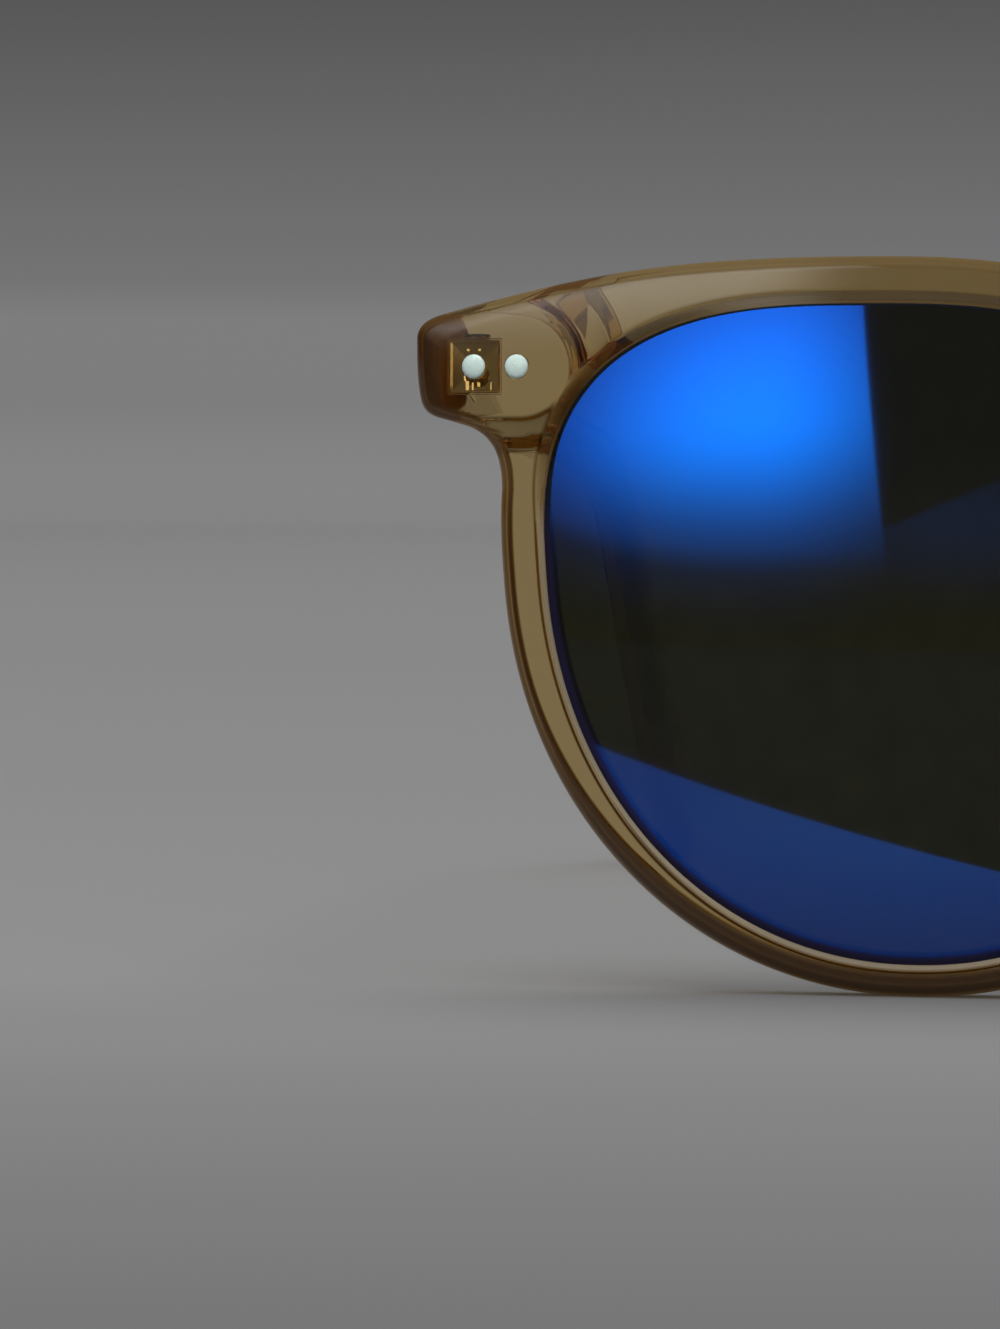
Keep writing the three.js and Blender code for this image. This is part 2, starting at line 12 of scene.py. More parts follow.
import bpy
import numpy as np
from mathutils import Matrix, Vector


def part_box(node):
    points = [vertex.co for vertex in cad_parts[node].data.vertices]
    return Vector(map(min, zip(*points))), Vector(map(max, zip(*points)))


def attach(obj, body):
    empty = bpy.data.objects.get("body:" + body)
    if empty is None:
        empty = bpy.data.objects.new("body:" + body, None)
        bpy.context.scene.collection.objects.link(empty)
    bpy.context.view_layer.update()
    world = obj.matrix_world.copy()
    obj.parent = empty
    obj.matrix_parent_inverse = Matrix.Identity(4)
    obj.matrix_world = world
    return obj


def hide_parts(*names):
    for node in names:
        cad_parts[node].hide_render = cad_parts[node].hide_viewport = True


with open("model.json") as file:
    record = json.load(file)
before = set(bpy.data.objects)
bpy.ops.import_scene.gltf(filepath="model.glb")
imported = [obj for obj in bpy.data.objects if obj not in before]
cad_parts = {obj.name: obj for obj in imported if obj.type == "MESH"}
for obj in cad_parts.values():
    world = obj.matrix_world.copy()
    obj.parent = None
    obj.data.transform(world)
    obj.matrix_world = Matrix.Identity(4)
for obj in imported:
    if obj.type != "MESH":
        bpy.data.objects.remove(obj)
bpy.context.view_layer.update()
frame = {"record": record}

MM = 0.001

# %% [markdown]
# ## Where things are
# Shapes are easiest to write about the places that a maker measures from. Here y is 0 on the middle of the
# front's thickness at the bridge and z is 0 on the widest line of the lens openings. The hinge leaf in the
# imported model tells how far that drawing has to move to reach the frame, so nothing is fitted by eye.

# %% Sizes that place the hinge, in millimetres
face_radius = 400.0
rim_depth = 4.0
end_x = 70.0
end_rise = 15.2
end_depth = 5.3
leaf_depth = 3.2
pin_setback = 1.6


def face_sag(x):
    """The front is bowed round the face: x squared over twice the bow's radius."""
    return x * x / (2 * face_radius)


back_y = face_sag(end_x) - rim_depth / 2 + end_depth
pin_y = back_y + pin_setback
leaf_low, leaf_high = (np.array(corner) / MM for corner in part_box("front_hinge_leaf_left"))
pin_x = (leaf_low[0] + leaf_high[0]) / 2
to_frame = np.array([
    0.0,
    leaf_low[1] - (back_y - leaf_depth),
    (leaf_low[2] + leaf_high[2]) / 2 - end_rise,
])
pin = np.array([pin_x, pin_y, end_rise])
print("drawing to frame, mm:", to_frame.round(3), "hinge pin at x", round(pin_x, 3))

# %% [markdown]
# ## From numbers to meshes
# Most pieces here are skins: rings of points in a row, each joined to the next. A ring closes on itself, and
# the row either ends in two small fans or runs round and meets its own start. Working out whole arrays of
# points at once keeps this fast, and a signed volume tells whether the faces look outwards. Nearly every
# piece comes twice, so one function makes both from the left one's shell.

# %% Skins and shells
def outward(points, polygons):
    """Turns all faces round if the shell's signed volume, a sum of corner determinants, is negative."""
    volume = 0.0
    for group in polygons:
        for last in range(2, group.shape[1]):
            a, b, c = points[group[:, 0]], points[group[:, last - 1]], points[group[:, last]]
            volume += np.einsum("ij,ij->", a, np.cross(b, c))
    return polygons if volume > 0 else [group[:, ::-1] for group in polygons]


def grid_faces(rows, columns, wrap_rows):
    """Quads between neighbouring rows and columns; columns always close on themselves."""
    row = np.arange(rows if wrap_rows else rows - 1)[:, None]
    column = np.arange(columns)[None, :]
    below, right = (row + 1) % rows, (column + 1) % columns
    here, under = row * columns, below * columns
    corners = [here + column, here + right, under + right, under + column]
    return np.stack(np.broadcast_arrays(*corners), axis=-1).reshape(-1, 4)


def skin(rings, wrap=False):
    """A closed shell over rings (rows, columns, 3), with a fan at each end unless the rows wrap."""
    rows, columns = rings.shape[:2]
    points = rings.reshape(-1, 3)
    polygons = [grid_faces(rows, columns, wrap)]
    if not wrap:
        step = np.arange(columns)
        after = (step + 1) % columns
        last = (rows - 1) * columns
        points = np.concatenate([points, rings[[0, -1]].mean(axis=1)])
        polygons.append(np.stack([after, step, np.full(columns, rows * columns)], axis=-1))
        polygons.append(np.stack([last + step, last + after, np.full(columns, rows * columns + 1)], axis=-1))
    return points, outward(points, polygons)


def joined(*shells):
    """Several shells as one: their faces are numbered on from one another."""
    points, polygons, first = [], [], 0
    for shell_points, shell_polygons in shells:
        points.append(shell_points)
        polygons += [group + first for group in shell_polygons]
        first += len(shell_points)
    return np.concatenate(points), polygons


def moved(shell, place):
    """The shell with every point moved by a place."""
    return shell[0] + np.asarray(place), shell[1]


def on_side(shell, side):
    """The shell for one side: side -1 turns x round, and every face with it."""
    points, polygons = shell
    if side > 0:
        return shell
    return points * [-1, 1, 1], [group[:, ::-1] for group in polygons]


def new_object(name, shell):
    """A mesh object from a shell in the drawing's millimetres, with its place in its points."""
    points, polygons = shell
    mesh = bpy.data.meshes.new(name)
    corners = np.concatenate([group.ravel() for group in polygons]).astype(np.int32)
    sizes = np.concatenate([np.full(len(group), group.shape[1]) for group in polygons])
    starts = np.concatenate([[0], np.cumsum(sizes)[:-1]]).astype(np.int32)
    mesh.vertices.add(len(points))
    mesh.vertices.foreach_set("co", ((points + to_frame) * MM).astype(np.float32).ravel())
    mesh.loops.add(len(corners))
    mesh.loops.foreach_set("vertex_index", corners)
    mesh.polygons.add(len(sizes))
    mesh.polygons.foreach_set("loop_start", starts)
    mesh.update(calc_edges=True)
    item = bpy.data.objects.new(name, mesh)
    bpy.context.scene.collection.objects.link(item)
    return item


def keep(item, name, values):
    """Keeps a value for each point of a piece's mesh under a name that a finish can read."""
    kept = item.data.attributes.new(name, "FLOAT", "POINT")
    kept.data.foreach_set("value", np.asarray(values, np.float32))


def carve(item, shell):
    """Takes a closed shell out of a piece with a Boolean, and keeps the result as the piece's mesh."""
    cutter = new_object("cutter", shell)
    modifier = item.modifiers.new("carve", "BOOLEAN")
    modifier.operation = "DIFFERENCE"
    modifier.solver = "EXACT"
    modifier.object = cutter
    bpy.context.view_layer.update()
    made = item.evaluated_get(bpy.context.evaluated_depsgraph_get())
    mesh = bpy.data.meshes.new_from_object(made)
    item.modifiers.clear()
    item.data = mesh
    bpy.data.objects.remove(cutter)


def fitted(item, node, finish, crease=40):
    """Smooths a piece up to a crease angle, gives it its finish, and seats it for its CAD node."""
    item.data.polygons.foreach_set("use_smooth", np.ones(len(item.data.polygons), bool))
    item.data.set_sharp_from_angle(angle=math.radians(crease))
    item.data.materials.append(finish)
    bodies = frame["record"]["behaviour"]["bodies"]
    body = next(name for name, nodes in bodies.items() if node in nodes)
    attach(item, body)
    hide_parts(node)
    triangles = sum(len(face.vertices) - 2 for face in item.data.polygons)
    print(f"{item.name}: {triangles} triangles, on {body}")


sides = {"right": -1, "left": 1}


def pair(name, node, finish, shell, values=None, cutters=(), crease=40):
    """A piece on each side from the left one's shell, with its values kept and its cutters carved out."""
    for ending, side in sides.items():
        item = new_object(f"{name}_{ending}", on_side(shell, side))
        for value_name, numbers in (values or {}).items():
            keep(item, value_name, numbers)
        for cutter in cutters:
            carve(item, on_side(cutter, side))
        fitted(item, f"{node}_{ending}", finish, crease)


# %% [markdown]
# ## Writing finishes as expressions
# A finish is a small graph of shader nodes. Drawing such a graph by hand hides the arithmetic, so a socket
# is wrapped in a class that understands plus, minus and times: each operator adds one Math node. One method
# adds any other node, with its settings first and then what goes into its sockets. The rest are short
# names for the nodes that come up often.

# %% The socket class
class Signal:
    """A shader socket that Python's operators can work on."""

    def __init__(self, tree, socket=None):
        self.tree = tree
        self.socket = socket

    def add(self, kind, settings=None, sockets=None, outlet=0):
        """Adds a node of a kind, sets it up, feeds its sockets, and returns one of its outlets."""
        node = self.tree.nodes.new(kind)
        for key, value in (settings or {}).items():
            if key == "stops":
                ramp = node.color_ramp
                while len(ramp.elements) < len(value):
                    ramp.elements.new(0.5)
                for element, (position, tone) in zip(ramp.elements, value):
                    element.position = position
                    element.color = (*tone, 1)
            else:
                setattr(node, key, value)
        for key, value in (sockets or {}).items():
            if isinstance(value, Signal):
                self.tree.links.new(value.socket, node.inputs[key])
            else:
                node.inputs[key].default_value = value
        return Signal(self.tree, node.outputs[outlet] if node.outputs else None)

    def maths(self, operation, left, right):
        """One Math node on two values."""
        return self.add("ShaderNodeMath", {"operation": operation}, {0: left, 1: right})

    def __add__(self, other):
        return self.maths("ADD", self, other)

    __radd__ = __add__

    def __mul__(self, other):
        return self.maths("MULTIPLY", self, other)

    def __sub__(self, other):
        return self.maths("SUBTRACT", self, other)

    def kept(self, name):
        """A value that is kept on the mesh's points under a name."""
        return self.add("ShaderNodeAttribute", {"attribute_name": name}, outlet="Fac")

    def place(self):
        """Object coordinates, in metres."""
        return self.add("ShaderNodeTexCoord", outlet="Object")

    def along(self, axis):
        """One of the object coordinates, in metres."""
        return self.add("ShaderNodeSeparateXYZ", {}, {0: self.place()}, outlet=axis)

    def ray(self, kind):
        """1 on rays of a kind, such as Camera or Shadow, and 0 on all others."""
        return self.add("ShaderNodeLightPath", outlet=f"Is {kind} Ray")

    def noise(self, size, detail=4.0, stretch=(1, 1, 1)):
        """Soft noise whose blobs are about size millimetres wide, stretched along the axes."""
        scaled = self.add("ShaderNodeMapping", {}, {"Vector": self.place(), "Scale": stretch})
        sockets = {"Vector": scaled, "Scale": 1 / (size * MM), "Detail": detail}
        return self.add("ShaderNodeTexNoise", {}, sockets)

    def ramp(self, *stops):
        """This value turned into a colour by a ramp of (position, colour) stops."""
        return self.add("ShaderNodeValToRGB", {"stops": stops}, {0: self})

    def greys(self, *stops):
        """This value turned into a grey by a ramp of (position, level) stops."""
        return self.ramp(*((position, (level,) * 3) for position, level in stops))

    def bump(self, height, strength, depth):
        """A Normal from a height, as deep as depth millimetres."""
        sockets = {"Height": height, "Strength": strength, "Distance": depth * MM}
        return self.add("ShaderNodeBump", {}, sockets)

    def surface(self, sockets):
        """A Principled shader with what goes into its sockets."""
        return self.add("ShaderNodeBsdfPrincipled", {}, sockets)

    def mix(self, share, first, second):
        """A shader that is first where share is 0 and second where it is 1."""
        return self.add("ShaderNodeMixShader", {}, {0: share, 1: first, 2: second})


def colour(red, green, blue):
    """An opaque colour for a socket."""
    return (red, green, blue, 1.0)


def new_finish(name):
    """An empty material and a Signal to start its graph from."""
    material = bpy.data.materials.new(name)
    material.use_nodes = True
    material.node_tree.nodes.clear()
    return material, Signal(material.node_tree)


def close(start, surface, volume=None):
    """Joins a surface, and a volume if there is one, to the material's output."""
    ends = {"Surface": surface}
    if volume:
        ends["Volume"] = volume
    start.add("ShaderNodeOutputMaterial", {}, ends)


# %% [markdown]
# ## Clear brown plastic
# The front and temples are cast or moulded in a clear brown plastic. Its colour isn't paint: light is soaked
# up on its way through, so a thin rim is pale tan and the length of a temple is nearly black. A refracting
# surface with an absorbing volume behind it gives that by itself. The volume alone would make a thick
# stretch too dark beside a thin one, so part of the colour is a tint of the surface. Lamps are let through
# by a Transparent shader on shadow rays, because a refracting solid would otherwise throw a black shadow.
# The polish is never quite even, so fine noise varies the roughness and the tint a little. Two values kept
# on the points add what a path of light can't show in so few bounces. The value named edge holds the plain
# tint and painted light: a painted deep amber at a rounded edge, where light would run along the rim, with
# painted lines, glows and shade beside it. The lip and the lens groove are milled and partly matt, and the
# value named matt says how much. The matt finish takes its colour from edge too, so where edge is high it is
# painted amber, and on a temple's sawn butt it is deep brown.

# %% Plastic finish
plain_tint, plastic_index = 0.1, 1.49
brown, brown_density = colour(0.86, 0.63, 0.06), 198.0


def clear_plastic(name):
    """Painted amber and shade on a refracting surface, an absorbing volume, and a milled, matt finish mixed
    in.
    """
    material, start = new_finish(name)
    haze = start.noise(2.4, 6.0)
    streak = start.noise(9.0, 3.0, (1.0, 0.35, 1.0))
    scuff = start.noise(0.12, 2.0, (1.0, 1.0, 0.2))
    polish = 0.008 + haze * 0.02 + scuff * 0.012
    # The glass's colour follows edge: the plain tint, then painted amber light and painted shade.
    clear = (start.kept("edge") + streak * 0.02).ramp(
        (0.0, (1.0, 0.995, 0.985)),
        (plain_tint, (0.929, 0.823, 0.609)),
        (0.37, (0.51, 0.395, 0.225)),
        (0.7, (0.24, 0.115, 0.018)),
        (1.0, (0.056, 0.025, 0.0036)),
    )
    normal = start.bump(haze + streak, 0.05, 0.02)
    glass = start.surface({
        "Base Color": clear,
        "Roughness": polish,
        "IOR": plastic_index,
        "Transmission Weight": 1.0,
        "Normal": normal,
    })
    # The matt finish's colour follows edge too: pale tan where milled, painted amber where edge is high.
    dulled = start.kept("edge").ramp(
        (plain_tint, (0.8, 0.7, 0.52)),
        (0.25, (0.4, 0.27, 0.11)),
        (1.0, (0.3, 0.14, 0.03)),
    )
    milled = start.surface({"Base Color": dulled, "Roughness": 0.6})
    body = start.mix(start.kept("matt"), glass, milled)
    through = start.add("ShaderNodeBsdfTransparent", {}, {"Color": colour(0.9, 0.88, 0.84)})
    lamp_ray = start.ray("Shadow")
    soaked = start.add("ShaderNodeVolumeAbsorption", {}, {"Color": brown, "Density": brown_density})
    close(start, start.mix(lamp_ray, body, through), soaked)
    return material


front_plastic = clear_plastic("front_brown_plastic")
temple_plastic = clear_plastic("temple_brown_plastic")
print("plastic finishes made")

# %% [markdown]
# ## Mirrored lens
# A sun lens is dyed dark grey-brown in the mass and carries a thin blue mirror on its front only. The mirror
# is a metal-like layer over the glass, so a value named coat, kept on the lens's points, mixes a blue metal
# over the dyed glass: 0 on the back, a little at the front's rim and 1 well inside. One material does both,
# because light that enters and leaves a volume has to meet the same one twice. Along the lower rim the coat
# is painted nearly black with a violet veil, painted shade beside the rim, and a breath of dust has settled
# on the face, most of it low down.

# %% Lens finish
lens_dye, dye_density, dust_height = colour(0.32, 0.31, 0.1), 2000.0, 50.0


def mirrored_glass():
    """A blue metal mixed by the coat over glass around an absorbing volume; painted shade and veil by the
    rim.
    """
    material, start = new_finish("lens_mirrored_glass")
    glass = start.surface({
        "Base Color": start.noise(6.0).greys((0.3, 0.97), (0.7, 1.0)),
        "Roughness": 0.005 + start.noise(3.0) * 0.01,
        "IOR": 1.5,
        "Specular Tint": colour(0.02, 0.2, 1.0),
        "Transmission Weight": 1.0,
    })
    coat = start.kept("coat")
    drift = start.noise(14.0, 3.0)
    # The coat's dark low end is painted shade beside the rim; the blue further in is the mirror's own colour.
    tone = (coat + drift * 0.02 - 0.01).ramp(
        (0.02, (0.007, 0.012, 0.06)),
        (0.045, (0.008, 0.02, 0.14)),
        (0.07, (0.004, 0.1, 0.66)),
        (1.0, (0.0007, 0.145, 0.74)),
    )
    metal = start.surface({
        "Base Color": tone,
        "Metallic": 1.0,
        "Roughness": 0.03 + start.noise(5.0) * 0.02,
    })
    cover = coat.greys((0.0, 0.0), (0.015, 0.93), (0.04, 0.93), (0.08, 0.7))
    # The veil is violet by the rim, painted shade, and ochre further in, where it is dust.
    violet, ochre = (0.05, 0.04, 0.13), (0.8, 0.78, 0.4)
    veil = coat.ramp((0.08, violet), (0.1, ochre))
    dust_and_painted_veil = start.surface({"Base Color": veil, "Roughness": 0.9})
    coated = start.mix(cover, glass, metal)
    soaked = start.add("ShaderNodeVolumeAbsorption", {}, {"Color": lens_dye, "Density": dye_density})
    rise = start.along("Z")
    settled = (rise * (1 / (dust_height * MM))).greys((0.45, 0.026), (0.8, 0.008))
    # edge: how much of the painted violet veil lies by the rim.
    edge = coat.greys((0.0, 0.0), (0.015, 0.4), (0.04, 0.4), (0.07, 0.0))
    dusty = edge + settled * (0.6 + start.noise(2.0) * 0.8)
    close(start, start.mix(dusty, coated, dust_and_painted_veil), soaked)
    return material


lens_finish = mirrored_glass()
print("lens finish made")

# %% [markdown]
# ## Metals
# The rivets are pale nickel silver, tumbled so that they look soft and a little cool. The hinge leaves are
# pale gilt and polished, the screws plain steel, and the cores are drawn wire with lines along it. Each is
# a metal whose colour and roughness drift, with a bump that says how it was worked.

# %% Metal finishes
def worked_metal(name, dark, light, roughness, grain, depth, stretch=(1, 1, 1), metallic=1.0):
    """A metal whose colour, gloss and surface follow one noise, stretched along the way it was worked."""
    material, start = new_finish(name)
    fine = start.noise(grain, 5.0, stretch)
    broad = start.noise(grain * 8, 3.0)
    tone = (fine * 0.5 + broad * 0.5).ramp((0.3, dark), (0.7, light))
    metal = start.surface({
        "Base Color": tone,
        "Metallic": metallic,
        "Roughness": roughness * 0.7 + fine * roughness * 0.6,
        "Normal": start.bump(fine, 0.3, depth),
    })
    close(start, metal)
    return material


rivet_metal = worked_metal(
    "rivet_pale_metal", (0.74, 0.92, 0.85), (0.82, 1.0, 0.93),
    roughness=0.3, grain=0.18, depth=0.003, metallic=0.85,
)
hinge_metal = worked_metal(
    "hinge_gilt", (0.9, 0.86, 0.74), (1.0, 1.0, 0.95),
    roughness=0.07, grain=0.3, depth=0.004, stretch=(1, 1, 4),
)
screw_metal = worked_metal(
    "screw_steel", (0.42, 0.43, 0.44), (0.62, 0.62, 0.61),
    roughness=0.28, grain=0.2, depth=0.01,
)
core_metal = worked_metal(
    "core_drawn_wire", (0.5, 0.5, 0.49), (0.72, 0.71, 0.69),
    roughness=0.3, grain=0.15, depth=0.01, stretch=(1, 0.05, 1),
)
print("metal finishes made")

# %% [markdown]
# ## The lens opening
# A round-eye shape is not a circle: it is flatter over the brow, fuller at the cheek, and leans outwards a
# little at the top. Two half superellipses that share their widest line say that with few numbers. A plain
# ellipse would look too pointed at the brow, and a traced spline would hold dozens of points.

# %% Opening formula
opening_half_width = 25.0
opening_rise = 19.7
opening_drop = 27.7
shoulder_power = 2.8
cheek_power = 2.12
opening_lean = 0.075
lens_centre = 35.0
opening_middle = (opening_rise - opening_drop) / 2


def ease(share):
    """A step that leaves 0 and reaches 1 smoothly: three squares less two cubes."""
    share = np.clip(share, 0, 1)
    return share * share * (3 - 2 * share)


def crossing(value, start, run):
    """The eased step from a start over a run; with a negative run it is 1 below the start and falls to 0."""
    return ease((value - start) / run)


def hump(value, middle, width):
    """A bell curve: e to the minus square of the way from its middle, in widths."""
    return np.exp(-(((value - middle) / width) ** 2))


def power_of(value, exponent):
    """A power that keeps the value's sign."""
    return np.sign(value) * np.abs(value) ** exponent


def opening_point(turn, grow=0.0):
    """Superellipse: x and z are signed powers of cosine and sine, z leans x, grow moves along the normal."""
    across, up = np.cos(turn), np.sin(turn)
    power = np.where(up >= 0, shoulder_power, cheek_power)
    height = np.where(up >= 0, opening_rise, opening_drop)
    z = height * power_of(up, 2 / power)
    x = lens_centre + opening_half_width * power_of(across, 2 / power) + opening_lean * (z - opening_middle)
    normal_x = power_of(across, 2 - 2 / power) / opening_half_width
    normal_z = power_of(up, 2 - 2 / power) / height - opening_lean * normal_x
    length = np.hypot(normal_x, normal_z)
    return np.stack([x + grow * normal_x / length, z + grow * normal_z / length], axis=-1)


def even_turns(count):
    """Turns that divide the opening's edge into equal lengths."""
    turn = np.linspace(0, 2 * math.pi, 20 * count + 1)
    steps = np.linalg.norm(np.diff(opening_point(turn), axis=0), axis=1)
    length = np.concatenate([[0], np.cumsum(steps)])
    return np.interp(np.arange(count) * length[-1] / count, length, turn)


around = opening_point(even_turns(400))
print("opening, mm:", np.ptp(around, axis=0).round(2))

# %% [markdown]
# ## The front's outline
# Half of the front's edge runs from the top of the bridge over the brow to the end piece, back under it in a
# fillet, down round the rim and up the nose into the keyhole. The rim is the opening grown by the rim's
# width, and the stretches between are bends that leave and arrive along given directions. How far a bend
# follows each direction is its pull.

# %% Outline formula
rim_top = 3.35
rim_side = 3.2
rim_bottom = 2.3
bridge_top = 12.5
bridge_height = 6.0
keyhole_radius = 4.9
end_height = 7.2
end_corner = 1.7
end_slope = 0.27
under_run = 1.6
fillet_reach = 5.2
bridge_pull, brow_pull, crest_pull, end_pull = 7.0, 9.0, 14.0, 11.5
nose_pull, keyhole_pull = 7.0, 6.0
arc_pull = 0.5523


def rim_point(turn):
    """The opening grown by a width that goes from the side's to the top's or bottom's with sine squared."""
    up = np.sin(turn)
    width = rim_side + (np.where(up >= 0, rim_top, rim_bottom) - rim_side) * up * up
    return opening_point(turn, width)


def bend(start, leaving, end, arriving, count):
    """A cubic Bezier curve's points, without the last."""
    share = np.linspace(0, 1, count, endpoint=False)[:, None]
    start, end = np.array(start), np.array(end)
    first, second = start + leaving, end - arriving
    rest = 1 - share
    return rest**3 * start + 3 * rest**2 * share * first + 3 * rest * share**2 * second + share**3 * end


def rim_stretch(first, last, count):
    """The rim's points between two turns, without the last."""
    return rim_point(np.linspace(first, last, count, endpoint=False))


def heading(turn, length):
    """The rim's direction at a turn, as the outline runs, with a length."""
    step = rim_point(np.array([turn, turn - 1e-4]))
    return (step[1] - step[0]) * length / np.linalg.norm(step[1] - step[0])


def half_outline():
    """The outline's points on the +X side, from the bridge's top round to the keyhole's top."""
    brow_start, brow_crest = 0.67 * math.pi, 0.5 * math.pi
    fillet_end, nose_end = 0.19, -0.84 * math.pi
    top, bottom = end_rise + end_height / 2, end_rise - end_height / 2
    top_corner = (end_x - end_corner, top + end_slope * end_corner * 0.3)
    end_top = (end_x, top - end_corner)
    end_bottom = (end_x - 0.3, bottom + end_corner * 0.7)
    under_corner = (end_x - end_corner, bottom - end_slope * end_corner * 0.3)
    fillet_start = (under_corner[0] - under_run, under_corner[1] - end_slope * under_run)
    keyhole_side = (keyhole_radius, bridge_top - bridge_height - keyhole_radius)
    keyhole_top = (0.0, bridge_top - bridge_height)
    arc = keyhole_radius * arc_pull
    under = np.array([-1.0, -end_slope])
    return np.concatenate([
        bend((0.0, bridge_top), (bridge_pull, 0), rim_point(brow_start), heading(brow_start, brow_pull), 30),
        rim_stretch(brow_start, brow_crest, 30),
        bend(rim_point(brow_crest), (crest_pull, 0), top_corner, (end_pull, -end_pull * end_slope), 120),
        bend(top_corner, (end_corner * 0.6, -end_corner * 0.2), end_top, (0, -end_corner * 0.6), 20),
        bend(end_top, (0, -2), end_bottom, (-0.25, -1.2), 16),
        bend(end_bottom, (-0.2, -0.7), under_corner, 0.9 * under, 20),
        bend(under_corner, 0.5 * under, fillet_start, 0.5 * under, 8),
        bend(fillet_start, 2.2 * under, rim_point(fillet_end), (0, -fillet_reach * 0.55), 56),
        rim_stretch(fillet_end, nose_end, 170),
        bend(rim_point(nose_end), heading(nose_end, nose_pull), keyhole_side, (0, keyhole_pull), 34),
        bend(keyhole_side, (0, arc), keyhole_top, (-arc, 0), 24),
    ])


outline = half_outline()
keyhole_rise = bridge_top - bridge_height
middle_line = np.stack([np.zeros(14), np.linspace(keyhole_rise, bridge_top, 14, endpoint=False)], axis=-1)
loop = np.concatenate([outline, middle_line])
print("outline points:", len(outline), "reach, mm:", outline.max(axis=0).round(2))

# %% [markdown]
# ## The front, as two sheets over a plan
# Seen from ahead, half of the front is a band between the lens opening and the outline, or the middle line
# at the bridge. Lines that leave the opening squarely and end on the outline give that band a grid. A front
# sheet and a rear sheet lie over the grid, and how far each lies from the middle follows from the distance
# to the nearest edge: full thickness inside, a quarter round near the outline and a chamfer at the lip. The
# quarter round grows towards the bottom, where it takes up nearly the whole rim. The chamfer widens over the
# top of the lens to a bevel that goes down almost to the glass. The grid is closer where it crosses the edge
# of the hinge block. Stacking boxes and bevels could do it too, but this way the rounding is exact
# everywhere, which clear plastic shows.

# %% Plan of half the front
edge_round, edge_round_below, round_grows = 0.85, 1.55, (-7.0, -20.0)
lip_chamfer, lip_bevel, lip_wall, bevel_grows = 0.42, 0.85, 0.45, (2.0, 8.0)
lens_thickness, lens_radius, lens_seat, lens_forward = 1.9, 132.0, 0.55, 1.85
block_radius, rivet_pitch = 3.7, 3.2
inner_rivet_x = pin_x - rivet_pitch
line_spread, crowd_gain, crowd_middle, crowd_width = 2.0, 7.0, 0.8, 0.9


def lens_middle(x, z):
    """The lens's middle surface: a sphere's cap, tilted to the bow of the face."""
    across = np.hypot(x - lens_centre, z - opening_middle)
    cap = lens_radius - np.sqrt(lens_radius**2 - across**2)
    return face_sag(lens_centre) - lens_forward + lens_centre / face_radius * (x - lens_centre) + cap


def edge_turns():
    """For each outline point the opening's turn whose normal reaches it, smoothed along the outline."""
    turn = np.linspace(-math.pi, math.pi, 7200, endpoint=False)
    curve = opening_point(turn)
    apart = np.linalg.norm(loop[:, None] - curve[None], axis=-1)
    found = np.unwrap(turn[apart.argmin(axis=1)])
    step = np.linalg.norm(np.roll(loop, -1, axis=0) - loop, axis=1)
    along = np.concatenate([[0], np.cumsum(step)[:-1]])
    total = step.sum()
    steady = -2 * math.pi * along / total
    gap = (along[:, None] - along[None] + total / 2) % total - total / 2
    weight = np.exp(-0.5 * (gap / line_spread) ** 2) * (step + np.roll(step, 1))
    return steady + weight @ (found - steady) / weight.sum(axis=1)


turns = edge_turns()
lip = opening_point(turns)
reach = np.linalg.norm(loop - lip, axis=1)
rounding = edge_round + (edge_round_below - edge_round) * crossing(loop[:, 1:], *round_grows)
over = crossing(lip[:, 1:], *bevel_grows)
lip_width = lip_chamfer + (lip_bevel - lip_chamfer) * over
sunk = lens_middle(*lip.T) - lens_thickness / 2 - (face_sag(lip[:, 0]) - rim_depth / 2)
lip_fall = lip_chamfer + over * np.maximum(sunk[:, None] - lip_wall - lip_chamfer, 0)
lip_steps = lip_width * np.array([0, 0.48, 0.86, 1, 1.07, 1.2, 1.4, 1.65])
edge_steps = rounding * np.array([1.05, 0.92, 0.8, 0.7, 0.62, 0.54, 0.46, 0.36, 0.24, 0.1, 0.02, 0])


def block_out(x, z):
    """Distance outside the hinge block's D, less than 0 inside it."""
    round_end = np.hypot(x - inner_rivet_x, z - end_rise)
    return np.where(x > inner_rivet_x, np.abs(z - end_rise), round_end) - block_radius


def even_shares(count):
    """Shares that divide a line evenly, without its ends."""
    return np.linspace(0, 1, count + 2)[1:-1]


def crowded(count):
    """Shares along each line, closer together where the line crosses the edge of the hinge block."""
    fine = np.linspace(0, 1, 240)
    places = lip[:, None] + (loop - lip)[:, None] * fine[:, None]
    weight = 1 + crowd_gain * hump(block_out(*np.moveaxis(places, -1, 0)), crowd_middle, crowd_width)
    total = np.cumsum(weight, axis=1)
    total = (total - total[:, :1]) / (total[:, -1:] - total[:, :1])
    return np.stack([np.interp(even_shares(count), row, fine) for row in total])


def plan(between):
    """Points (line, step, 2) along each line, crowded near both edges, with given shares between."""
    first, last = lip_steps[:, -1:], reach[:, None] - edge_steps[:, :1]
    steps = np.concatenate([
        lip_steps,
        first + (last - first) * between,
        reach[:, None] - edge_steps,
    ], axis=1)
    share = (steps / reach[:, None])[..., None]
    return lip[:, None] + (loop - lip)[:, None] * share


def distance(places, line):
    """Least distance from each place to a line of straight steps, worked out a batch of rows at a time."""
    start, along = line[:-1], np.diff(line, axis=0)
    square = (along**2).sum(axis=1)
    found = []
    for rows in np.array_split(places.reshape(-1, 2), 40):
        offset = rows[:, None] - start[None]
        share = np.clip((offset * along).sum(axis=-1) / square, 0, 1)
        found.append(np.linalg.norm(offset - share[..., None] * along, axis=-1).min(axis=1))
    return np.concatenate(found).reshape(places.shape[:-1])


